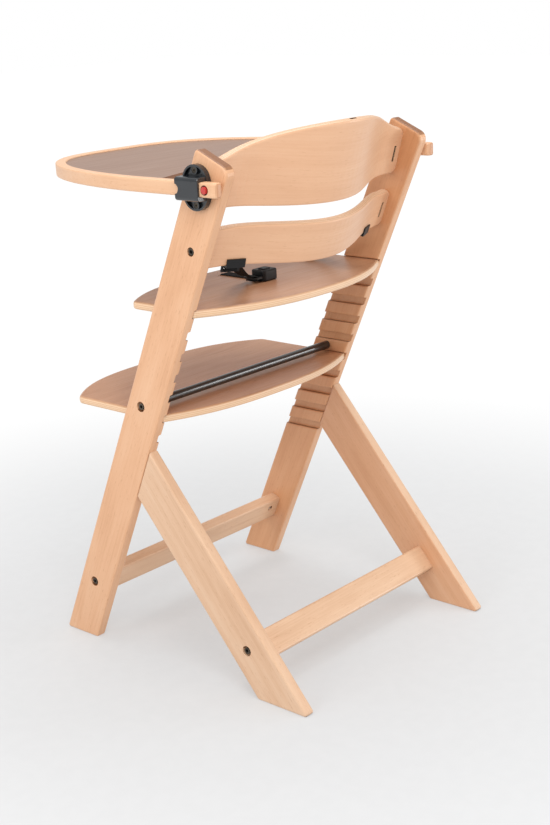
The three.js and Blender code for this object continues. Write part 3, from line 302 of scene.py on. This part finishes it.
def rim_beech():
    """The tray's rim: fibres follow the curve of the front and then the arms."""
    look = Look("beech_tray_rim", Coat_Weight=0.15, Coat_Roughness=0.25)
    turn_y = (265 - DEPTH_MIDDLE) * MM  # where the round front becomes the straight arms
    rim_radius = 0.245
    x, y, z = look.split(look.place)
    back = look.math("SUBTRACT", y, turn_y)
    angle = look.math("ARCTAN2", x, look.math("MULTIPLY", back, -1))
    bent = look.math("MULTIPLY", angle, rim_radius)
    radius = look.math("SQRT", look.math("ADD", look.math("MULTIPLY", x, x),
                                         look.math("MULTIPLY", back, back)))
    side = look.math("SIGN", x)
    straight = look.math("MULTIPLY", side, look.math("ADD", back, rim_radius * math.pi / 2))
    on_arm = look.math("GREATER_THAN", back, 0.0)
    on_front = look.math("SUBTRACT", 1.0, on_arm)
    u = look.math("ADD", look.math("MULTIPLY", on_arm, straight),
                  look.math("MULTIPLY", on_front, bent))
    v = look.math("ADD", look.math("MULTIPLY", on_arm, look.math("ABSOLUTE", x)),
                  look.math("MULTIPLY", on_front, radius))
    colour, fibre, dots = grain(look, look.join(u, v, z), BEECH_LIGHT, BEECH_MIDDLE, BEECH_DARK,
                                BEECH_FLECK, contrast=0.7)
    facing = look.math("MULTIPLY", on_arm, look.math("ABSOLUTE", look.dot(look.normal, (0, 1, 0))))
    colour = look.mix(look.span(facing, 0.72, 0.95), colour, ARM_END)
    return finish_wood(look, colour, fibre, dots)


def ply_layers(look, depth, wander):
    """Colour of a cut plywood edge, from the distance through the sheet."""
    shaken = look.math("ADD", depth, look.math("MULTIPLY", wander, 0.0006))
    turns = math.tau * PLY_LAYERS / (2 * PLY_THICK)
    wave = look.math("COSINE", look.math("MULTIPLY", shaken, turns))
    band = look.ramp(look.math("MULTIPLY_ADD", wave, 0.5, 0.5), [(0.2, PLY_CREAM), (0.8, PLY_TAN)])
    glue = look.math("ABSOLUTE", wave)
    return look.mix(look.span(glue, 0.0, 0.35, 0.55, 0.0), band, PLY_LINE)


def board_ply(name, floor, shift, tint=(1, 1, 1)):
    """Flat plywood whose lower face is at floor: warm brown faces and pale striped edges."""
    look = Look(name, Coat_Weight=0.18, Coat_Roughness=0.25)
    spot = look.add("VectorMath", {0: look.place, 1: shift}, operation="ADD")
    tones = tones_of(BOARD_TONES, tint)
    colour, fibre, dots = grain(look, spot, *tones, ring=0.024, contrast=0.9)
    _, _, z = look.split(look.place)
    depth = look.math("SUBTRACT", z, floor)
    wander = look.noise(look.scaled(look.place, (30, 30, 6)), 1.0, 2.0)
    edge = ply_layers(look, depth, wander)
    streak = look.noise(look.scaled(look.place, (90, 90, 900)), 1.0, 3.0)
    edge = look.mix(look.span(streak, 0.45, 0.75, 0.0, 0.12), edge, PLY_LINE)
    facing = look.math("ABSOLUTE", look.dot(look.normal, (0, 0, 1)))
    colour = look.mix(look.span(facing, 0.8, 0.97), edge, colour)
    return finish_wood(look, colour, fibre, dots, gloss=0.36)


def bent_ply(name, back):
    """Bent plywood: the layers follow the bulge of the sheet."""
    look = Look(name, Coat_Weight=0.15, Coat_Roughness=0.28)
    along = (0, math.sin(back["lean"]), math.cos(back["lean"]))
    across = (0, math.cos(back["lean"]), -math.sin(back["lean"]))
    from_bolt = look.add("VectorMath", {0: look.place, 1: back["origin"]}, operation="SUBTRACT")
    x, _, _ = look.split(look.place)
    ratio = look.math("DIVIDE", x, back["half"])
    rest = look.math("SUBTRACT", 1.0, look.math("MULTIPLY", ratio, ratio))
    inside = look.math("MAXIMUM", rest, 0.0)
    bulge = look.math("MULTIPLY", look.math("POWER", inside, back["power"]), back["bulge"])
    depth = look.math("SUBTRACT", look.dot(from_bolt, across), bulge)
    cell = look.join(x, look.dot(from_bolt, along), depth)
    colour, fibre, dots = grain(look, look.scaled(cell, (1, 1, 0.3)), *tones_of(BACK_TONES),
                                ring=0.024, contrast=0.7)
    wander = look.noise(look.scaled(look.place, (25, 25, 25)), 1.0, 2.0)
    edge = ply_layers(look, depth, wander)
    # painted shade: darkens the backrests' edges against the top light
    edge = look.mix(1.0, edge, BACK_EDGE_SHADE, "MULTIPLY")
    facing = look.math("ABSOLUTE", look.dot(look.normal, across))
    colour = look.mix(look.span(facing, 0.5, 0.72), edge, colour)
    if back["pocket"]:
        # painted shade: the pocket in the top edge is coloured dark inside
        half_long, half_wide, height = back["pocket"]
        near_middle = look.math("LESS_THAN", look.math("ABSOLUTE", x), half_long)
        inside_sheet = look.math("LESS_THAN", look.math("ABSOLUTE", depth), half_wide)
        at_top = look.math("GREATER_THAN", look.dot(from_bolt, along), height)
        hole = look.math("MULTIPLY", look.math("MULTIPLY", near_middle, inside_sheet), at_top)
        colour = look.mix(hole, colour, POCKET_SHADE)
    return finish_wood(look, colour, fibre, dots, gloss=0.4)


def laminate():
    """The tray's grey-brown wood laminate, with its grain across the tray."""
    look = Look("tray_laminate", Coat_Weight=0.1, Coat_Roughness=0.3)
    colour, fibre, dots = grain(look, look.place, *tones_of(LAMINATE_TONES),
                                ring=0.03, contrast=0.7)
    return finish_wood(look, colour, fibre, dots, gloss=0.34)


def plastic(name, dark, light, roughness, coat=0.35, bump=0.06, specular=0.5):
    """Moulded plastic with a finely textured skin."""
    look = Look(name, roughness, Coat_Weight=coat, Coat_Roughness=0.12, Specular_IOR_Level=specular)
    fine = look.noise(look.place, 1400.0, 2.0)
    soft = look.noise(look.place, 55.0, 3.0)
    look.colour(look.ramp(soft, [(0.3, dark), (0.7, light)]))
    look.rough(look.span(soft, 0.2, 0.8, roughness - 0.05, roughness + 0.09))
    look.bump(fine, bump, 0.0002)
    return look.material


def metal(name, dark, light, roughness, metallic, coat=0.0):
    """Painted or plated metal with drawing lines along X."""
    look = Look(name, roughness, Metallic=metallic, Coat_Weight=coat, Coat_Roughness=0.09)
    lines = look.noise(look.scaled(look.place, (20, 900, 900)), 1.0, 3.0)
    soft = look.noise(look.place, 90.0, 2.0)
    look.colour(look.ramp(soft, [(0.3, dark), (0.7, light)]))
    look.rough(look.span(lines, 0.2, 0.8, roughness - 0.06, roughness + 0.1))
    look.bump(lines, 0.05, 0.0001)
    return look.material


def webbing():
    """Ribbed webbing; the UV map is in mm, across the strap in U and along it in V."""
    look = Look("black_webbing", 0.85, Specular_IOR_Level=0.25)
    u, v, _ = look.split(look.coord.outputs["UV"])
    warp = look.math("SINE", look.math("MULTIPLY", u, math.tau / 1.3))
    weft = look.math("SINE", look.math("ADD", look.math("MULTIPLY", v, math.tau / 1.1),
                                       look.math("MULTIPLY", look.math("SIGN", warp), 1.57)))
    weave = look.math("MULTIPLY_ADD", look.math("MULTIPLY", warp, weft), 0.5, 0.5)
    fuzz = look.noise(look.place, 2600.0, 2.0)
    shade = look.math("MULTIPLY_ADD", fuzz, 0.35, look.math("MULTIPLY", weave, 0.65))
    look.colour(look.ramp(shade, [(0.15, (0.003, 0.003, 0.0035)), (0.85, (0.014, 0.014, 0.015))]))
    look.bump(shade, 0.5, 0.0004)
    return look.material


# ---------- places repeated from the CAD, in millimetres ----------
LEAN = math.radians(24.27)
LEG_ANGLE = math.radians(40)
LOWER_BACK = {
    "bolt": (740, 40), "lean": math.radians(21.9), "bulge": 60.5, "half": 209, "power": 2.05,
    "end_low": -30, "mid_low": -19.5, "low_half": 179, "low_power": 0.8}
UPPER_BACK = {
    "bolt": (832, 30), "lean": math.radians(16.8), "bulge": 57.5, "half": 183, "power": 2.13,
    "pocket": (7.2, 1.7, 80)}  # half its length, half its width, and a height just below it
SEAT_TOP = 571.3
SEAT_FLOOR = 559.3
FOOTREST_FLOOR = 392.8
WEB_WIDTH = 20
WEB_THICK = 1.8


def on_upright(s, n):
    """Y and Z of a place s along the upright and n behind its front face."""
    return (
        s * math.sin(LEAN) + n * math.cos(LEAN) - DEPTH_MIDDLE,
        s * math.cos(LEAN) - n * math.sin(LEAN))


def in_metres(back):
    """The backrest's shape for its material."""
    y, z = on_upright(*back["bolt"])
    return {
        "lean": back["lean"], "origin": (0, y * MM, z * MM), "half": back["half"] * MM,
        "bulge": back["bulge"] * MM, "power": back["power"],
        "pocket": [size * MM for size in back.get("pocket", ())]}


# ---------- materials on the CAD nodes ----------
HARNESS_PREFIXES = ("strap_clip", "buckle_", "crotch_strap_keeper")
UPRIGHT_GRAIN = (0, math.sin(LEAN), math.cos(LEAN))
LEG_GRAIN = (0, -math.sin(LEG_ANGLE), math.cos(LEG_ANGLE))
black_plastic = plastic("black_plastic", (0.004, 0.006, 0.009), (0.009, 0.013, 0.018),
                        roughness=0.3, coat=0.6)
harness_plastic = plastic("harness_plastic", (0.003, 0.003, 0.0035), (0.007, 0.007, 0.008),
                          roughness=0.42, coat=0.0, specular=0.3)
red_plastic = plastic("red_plastic", from_srgb(178, 40, 36), from_srgb(205, 66, 58),
                      roughness=0.34, bump=0.04)
black_steel = metal("black_steel", (0.006, 0.0055, 0.005), (0.016, 0.015, 0.014),
                    roughness=0.4, metallic=0.0, coat=1.0)
bolt_steel = metal("black_bolt_steel", (0.05, 0.042, 0.033), (0.11, 0.09, 0.07),
                   roughness=0.3, metallic=0.8)
zinc_steel = metal("zinc_steel", (0.5, 0.51, 0.53), (0.68, 0.69, 0.71),
                   roughness=0.34, metallic=1.0)
# painted shade: a darker zinc for the nuts seen through the backrests' slots
slot_shade_zinc = metal("zinc_steel_slot_shade", (0.012, 0.012, 0.013), (0.04, 0.04, 0.042),
                  roughness=0.45, metallic=0.7)
strap_cloth = webbing()

UPRIGHT_TINT = (0.98, 0.92, 0.88)
# painted shade for the uprights' faces towards the middle of the chair
UPRIGHT_INNER_SHADE = (0.93, 0.85, 0.76)
# painted light: the legs are paler and cooler, standing in for light from the floor
LEG_FLOOR_LIGHT_TINT = (0.95, 1.02, 1.10)
# painted shade for the legs' faces towards the middle of the chair
LEG_INNER_SHADE = (0.96, 0.82, 0.72)
BAR_TINT = (1.0, 1.08, 1.16)
DOWEL_TINT = (0.95, 0.95, 0.95)
# painted light: the footrest is brighter and warmer, standing in for a warm reflection on it
FOOTREST_REFLECTION_TINT = (1.14, 1.08, 1.0)
# node: direction of the fibres, shift of the grain, tint, painted shade on the faces towards the
# middle of the chair
beech_by_node = {
    "upright_left": (UPRIGHT_GRAIN, (0.0, 0.11, 0.3), UPRIGHT_TINT, UPRIGHT_INNER_SHADE),
    "upright_right": (UPRIGHT_GRAIN, (0.07, 0.31, 0.9), UPRIGHT_TINT, UPRIGHT_INNER_SHADE),
    "rear_leg_left": (LEG_GRAIN, (0.02, 0.05, 0.6), LEG_FLOOR_LIGHT_TINT, LEG_INNER_SHADE),
    "rear_leg_right": (LEG_GRAIN, (0.09, 0.23, 1.4), LEG_FLOOR_LIGHT_TINT, LEG_INNER_SHADE),
    "front_crossbar": ((1, 0, 0), (0.4, 0.12, 0.03), BAR_TINT),
    "rear_crossbar": ((1, 0, 0), (1.3, 0.02, 0.09), BAR_TINT),
    "leg_dowel_left_1": ((0, 1, 0), (0.1, 0, 0), DOWEL_TINT),
    "leg_dowel_left_2": ((0, 1, 0), (0.2, 0, 0), DOWEL_TINT),
    "leg_dowel_right_1": ((0, 1, 0), (0.3, 0, 0), DOWEL_TINT),
    "leg_dowel_right_2": ((0, 1, 0), (0.4, 0, 0), DOWEL_TINT),
}
looks = {name: beech("beech_" + name, *setting) for name, setting in beech_by_node.items()}
looks["tray_frame"] = rim_beech()
looks["tray_panel"] = laminate()
looks["seat_board"] = board_ply("plywood_seat", SEAT_FLOOR * MM, (0.02, 0.03, 0.0))
looks["footrest_board"] = board_ply(
    "plywood_footrest", FOOTREST_FLOOR * MM, (0.5, 0.21, 0.04), FOOTREST_REFLECTION_TINT)
looks["lower_backrest"] = bent_ply("bent_plywood_lower", in_metres(LOWER_BACK))
looks["upper_backrest"] = bent_ply("bent_plywood_upper", in_metres(UPPER_BACK))
by_slot = {
    "black_plastic": black_plastic, "red_plastic": red_plastic, "black_steel": bolt_steel,
    "zinc_steel": zinc_steel, "black_webbing": strap_cloth}
for row in frame["record"]["subparts"]:
    name = row["node"]
    if name not in looks:
        looks[name] = by_slot[row["material_slot"]]
looks["tie_rod"] = black_steel
for name in looks:
    if name.startswith(HARNESS_PREFIXES):
        looks[name] = harness_plastic
    # painted shade: these nuts sit in the slots, so they get the darker zinc
    if "_back_nut_" in name:  # seen through the slots in the backrests
        looks[name] = slot_shade_zinc
for name, look in looks.items():
    nodes[name].material_slots[0].material = look


def new_object(name, vertices, faces, material, smooth=True):
    mesh = bpy.data.meshes.new(name)
    mesh.from_pydata(vertices, [], faces)
    for polygon in mesh.polygons:
        polygon.use_smooth = smooth
    mesh.materials.append(material)
    made = bpy.data.objects.new(name, mesh)
    bpy.context.scene.collection.objects.link(made)
    return made


# ---------- straps, in millimetres until the mesh is made ----------
STEPS_PER_SPAN = 5


def smooth_path(points, directions):
    """A Catmull-Rom curve through the points, with the strap's width direction carried along."""
    fine, wide = [], []
    last = len(points) - 1
    for i in range(last):
        p0 = points[max(i - 1, 0)]
        p1, p2 = points[i], points[i + 1]
        p3 = points[min(i + 2, last)]
        for k in range(STEPS_PER_SPAN + (i == last - 1)):
            t = k / STEPS_PER_SPAN
            fine.append(0.5 * ((2 * p1) + (p2 - p0) * t + (2 * p0 - 5 * p1 + 4 * p2 - p3) * t * t
                               + (3 * p1 - p0 - 3 * p2 + p3) * t ** 3))
            wide.append(directions[i].lerp(directions[i + 1], t))
    return fine, wide


# the webbing's outline in half widths and half thicknesses, with rounded edges and shallow ribs
STRAP_SECTION = [
    (-1.0, 0.3), (-0.93, 0.85), (-0.8, 1.0), (-0.4, 0.92), (0.0, 1.0), (0.4, 0.92),
    (0.8, 1.0), (0.93, 0.85), (1.0, 0.3), (1.0, -0.3), (0.93, -0.85), (0.8, -1.0),
    (0.4, -0.92), (0.0, -1.0), (-0.4, -0.92), (-0.8, -1.0), (-0.93, -0.85), (-1.0, -0.3)]


def strap(name, points, directions, replaced):
    """Webbing along a path. Returns the piece and the fine path that it follows."""
    fine, wide = smooth_path(points, directions)
    vertices, faces, uvs = [], [], []
    around = len(STRAP_SECTION)
    travelled = 0.0
    lengths = []
    for i, spot in enumerate(fine):
        along = (fine[min(i + 1, len(fine) - 1)] - fine[max(i - 1, 0)]).normalized()
        across = (wide[i] - along * wide[i].dot(along)).normalized()
        normal = along.cross(across)
        if i:
            travelled += (spot - fine[i - 1]).length
        lengths.append(travelled)
        for u, v in STRAP_SECTION:
            point = spot + across * (u * WEB_WIDTH / 2) + normal * (v * WEB_THICK / 2)
            vertices.append(point * MM)
    for i in range(len(fine) - 1):
        for k in range(around):
            a, b = i * around + k, i * around + (k + 1) % around
            faces.append((a, a + around, b + around, b))
            here = STRAP_SECTION[k][0] * WEB_WIDTH / 2
            beside = STRAP_SECTION[(k + 1) % around][0] * WEB_WIDTH / 2
            uvs += [(here, lengths[i]), (here, lengths[i + 1]),
                    (beside, lengths[i + 1]), (beside, lengths[i])]
    for start, turn in ((0, 1), ((len(fine) - 1) * around, -1)):
        ring = [start + k for k in range(around)][::turn]
        faces.append(tuple(ring))
        uvs.extend((0.0, 0.0) for _ in ring)
    piece = new_object(name, vertices, faces, strap_cloth)
    layer = piece.data.uv_layers.new(name="strap")
    for loop, uv in zip(layer.data, uvs):
        loop.uv = uv
    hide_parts(replaced)
    return piece, fine


def rise(x, half, power):
    """A curve that is 1 in the middle and falls to 0 at half."""
    return (1 - (x / half) ** 2) ** power if abs(x) < half else 0.0


def lower_edge(x):
    """The place on the lower backrest's bottom edge, in the middle of the sheet."""
    back = LOWER_BACK
    y, z = on_upright(*back["bolt"])
    lift = rise(x, back["low_half"], back["low_power"])
    height = back["end_low"] + (back["mid_low"] - back["end_low"]) * lift
    bulge = back["bulge"] * rise(x, back["half"], back["power"])
    return Vector((
        x,
        y + height * math.sin(back["lean"]) + bulge * math.cos(back["lean"]),
        z + height * math.cos(back["lean"]) - bulge * math.sin(back["lean"])))


CLIP_X = 147
BUCKLE_X = 1
BUCKLE_HALF = 16
BUCKLE_FRONT_Y = 257 - DEPTH_MIDDLE
BUCKLE_MID_Y = BUCKLE_FRONT_Y + 14
TONGUE_Z = SEAT_TOP + 0.4 + 7.5
FREE_TONGUE = Vector((-168, 205 - DEPTH_MIDDLE, SEAT_TOP + 5))
CURVE_STEPS = 9
# rearwards and upwards from the backrest's edge, through the clip's slot
CLIP_ROUTE = [(-4.4, -15.5), (-4.8, -12), (-6.4, -10.2), (-9.2, -10), (-12, -10.3), (-17, -12)]
# outwards and upwards from the tongue's middle, through its slot and back underneath
TONGUE_ROUTE = [(23, 4.4), (17, 3.6), (12.2, 2.9), (11, 1.2), (10.8, -1.2), (12, -3.2), (16, -3.6)]
UP = Vector((0, 0, 1))

clip_along = (lower_edge(CLIP_X + 1) - lower_edge(CLIP_X - 1)).normalized()
back_along = Vector((0, math.sin(LOWER_BACK["lean"]), math.cos(LOWER_BACK["lean"])))
clip_up = (back_along - clip_along * back_along.dot(clip_along)).normalized()
clip_rear = clip_up.cross(clip_along)


def bezier(p0, p1, p2, p3, t):
    s = 1 - t
    return p0 * s ** 3 + p1 * (3 * s * s * t) + p2 * (3 * s * t * t) + p3 * t ** 3


def waist_path(side, tongue, outward, across, start_pull, end_pull):
    """From the clip's slot to the tongue's slot, the same route as the CAD solid."""
    def mirror(v):
        return Vector((side * v.x, v.y, v.z))

    points = [mirror(lower_edge(CLIP_X) + clip_rear * a + clip_up * b) for a, b in CLIP_ROUTE]
    directions = [mirror(clip_along) for _ in points]
    at_tongue = [tongue + outward * u + UP * lift for u, lift in TONGUE_ROUTE]
    start, end = points[-1], at_tongue[0]
    for i in range(1, CURVE_STEPS + 1):
        t = i / CURVE_STEPS
        points.append(bezier(start, start + start_pull, end + end_pull, end, t))
        directions.append(mirror(clip_along).lerp(across, t))
    for point in at_tongue[1:]:
        points.append(point)
        directions.append(across.copy())
    return points, directions


left_tongue = Vector((BUCKLE_X + BUCKLE_HALF, BUCKLE_MID_Y, TONGUE_Z))
left_points, left_wide = waist_path(
    1, left_tongue, Vector((1, 0, 0)), Vector((0, -1, 0)),
    clip_rear * -12 + Vector((-20, 0, -1)), Vector((20, 0, 6)))
right_points, right_wide = waist_path(
    -1, FREE_TONGUE, Vector((0, 1, 0)), Vector((-1, 0, 0)),
    Vector((-4, -22, -8)), Vector((0, 34, 2)))

# the crotch strap comes from its keeper under the seat, up through the slot and back to the buckle
SLOT_Y = 185 - DEPTH_MIDDLE
UNDER_SEAT = 554.8
ON_SEAT = SEAT_TOP + 0.3 + WEB_THICK / 2
crotch_points = [Vector(point) for point in [
    (0, SLOT_Y + 15, UNDER_SEAT - 0.3), (0, SLOT_Y + 6, UNDER_SEAT - 0.1),
    (0, SLOT_Y + 2.4, UNDER_SEAT), (0, SLOT_Y + 0.2, UNDER_SEAT + 1.6),
    (0, SLOT_Y - 0.4, SEAT_TOP - 10), (0, SLOT_Y - 0.2, SEAT_TOP - 2.5),
    (0, SLOT_Y + 1.6, ON_SEAT - 0.5), (0, SLOT_Y + 5, ON_SEAT),
    (BUCKLE_X / 2, SLOT_Y + 28, ON_SEAT), (BUCKLE_X, BUCKLE_FRONT_Y - 14, ON_SEAT + 0.4),
    (BUCKLE_X, BUCKLE_FRONT_Y - 3, ON_SEAT + 2.9), (BUCKLE_X, BUCKLE_FRONT_Y + 5, ON_SEAT + 3.9)]]
crotch_wide = [Vector((1, 0, 0))] * len(crotch_points)
crotch, _ = strap("crotch_strap_webbing", crotch_points, crotch_wide, "crotch_strap")
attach(crotch, "seat")
waist_left, left_fine = strap(
    "waist_strap_webbing_left", left_points, left_wide, "waist_strap_left")
waist_right, right_fine = strap(
    "waist_strap_webbing_right", right_points, right_wide, "waist_strap_right")
for piece, fine in ((waist_left, left_fine), (waist_right, right_fine)):
    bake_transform(piece)

# ---------- latch springs, in millimetres ----------
COIL_LOW_X = 237.7
COIL_HIGH_X = 247.5
COIL_RADIUS = 2.5
WIRE_RADIUS = 0.4
COIL_TURNS = 4
COIL_STEPS = 24
WIRE_SIDES = 10
BUTTON_Y = 395 - DEPTH_MIDDLE
TRAY_MID_Z = 748.5


def coil(name, side):
    """A spring from the latch hole's floor to the button.

    side is 1 for the child's left and -1 for the right, where the faces turn the other way.
    """
    vertices, faces = [], []
    count = COIL_TURNS * COIL_STEPS
    for i in range(count + 1):
        angle = math.tau * i / COIL_STEPS
        x = COIL_LOW_X + (COIL_HIGH_X - COIL_LOW_X) * i / count
        for k in range(WIRE_SIDES):
            turn = math.tau * k / WIRE_SIDES
            radius = COIL_RADIUS + WIRE_RADIUS * math.cos(turn)
            vertices.append((
                side * (x + WIRE_RADIUS * math.sin(turn)) * MM,
                (BUTTON_Y + radius * math.cos(angle)) * MM,
                (TRAY_MID_Z + radius * math.sin(angle)) * MM))
    for i in range(count):
        for k in range(WIRE_SIDES):
            a, b = i * WIRE_SIDES + k, i * WIRE_SIDES + (k + 1) % WIRE_SIDES
            face = (a, b, b + WIRE_SIDES, a + WIRE_SIDES)
            faces.append(face if side > 0 else face[::-1])
    first = tuple(range(WIRE_SIDES))
    last = tuple(count * WIRE_SIDES + k for k in range(WIRE_SIDES))
    faces += [first[::-1], last] if side > 0 else [first, last[::-1]]
    piece = new_object("latch_coil_" + name, vertices, faces, zinc_steel)
    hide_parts("latch_spring_" + name)
    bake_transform(piece)


coil("left", 1)
coil("right", -1)

# ---------- floor and light ----------
FLOOR_HALF = 14.0
NEAR_FLOOR = 0.45  # from here to there the grey floor fades into an evenly white one
FAR_FLOOR = 1.5
NEAR_GLOW = 0.37
FLOOR_GREY = (0.345, 0.35, 0.355)
FLOOR_PALE_GREY = (0.355, 0.36, 0.365)
WORLD_LIGHT = 0.62
WORLD_SEEN = 1.0


def make_floor():
    """Grey with soft shadows around the chair, and glowing white further out."""
    look = Look("pale_floor", 0.8, Emission_Color=(1, 1, 1, 1), Specular_IOR_Level=0.2)
    reach = look.add("VectorMath", {0: look.place}, "Value", operation="LENGTH")
    speck = look.noise(look.place, 40.0, 2.0)
    pale = look.mix(look.span(speck, 0.3, 0.7), FLOOR_GREY, FLOOR_PALE_GREY)
    far = look.span(reach, NEAR_FLOOR, FAR_FLOOR)
    look.colour(look.mix(far, pale, (0.0, 0.0, 0.0)))
    glow = look.span(reach, NEAR_FLOOR, FAR_FLOOR, NEAR_GLOW, 1.0)
    look.tree.links.new(glow, look.bsdf.inputs["Emission Strength"])
    corners = [(x * FLOOR_HALF, y * FLOOR_HALF, 0) for x, y in ((-1, -1), (1, -1), (1, 1), (-1, 1))]
    new_object("floor", corners, [(0, 1, 2, 3)], look.material, smooth=False)


def make_world():
    """Even white light, a little brighter where the camera sees it than where it lights."""
    world = bpy.data.worlds.new("studio")
    bpy.context.scene.world = world
    world.use_nodes = True
    tree = world.node_tree
    background = tree.nodes["Background"]
    background.inputs["Color"].default_value = (1, 1, 1, 1)
    path = tree.nodes.new("ShaderNodeLightPath")
    level = tree.nodes.new("ShaderNodeMapRange")
    level.inputs["To Min"].default_value = WORLD_LIGHT
    level.inputs["To Max"].default_value = WORLD_SEEN
    tree.links.new(path.outputs["Is Camera Ray"], level.inputs["Value"])
    tree.links.new(level.outputs[0], background.inputs["Strength"])


def soft_light(name, place, target, size, power):
    """A round area light at a place, turned to a target."""
    data = bpy.data.lights.new(name, "AREA")
    data.shape = "DISK"
    data.size = size
    data.energy = power
    light = bpy.data.objects.new(name, data)
    bpy.context.scene.collection.objects.link(light)
    light.location = place
    light.rotation_euler = (Vector(target) - Vector(place)).to_track_quat("-Z", "Y").to_euler()


make_floor()
make_world()
soft_light("key", (1.9, 2.1, 2.9), (0, 0, 0.4), 2.2, 56)
soft_light("top", (-0.3, -0.2, 3.4), (0, 0, 0.3), 2.6, 52)
soft_light("side", (3.2, -0.4, 1.7), (0, 0, 0.4), 1.8, 28)
soft_light("low_right", (-2.05, 2.0, 0.66), (0, 0, 0.45), 0.9, 15)
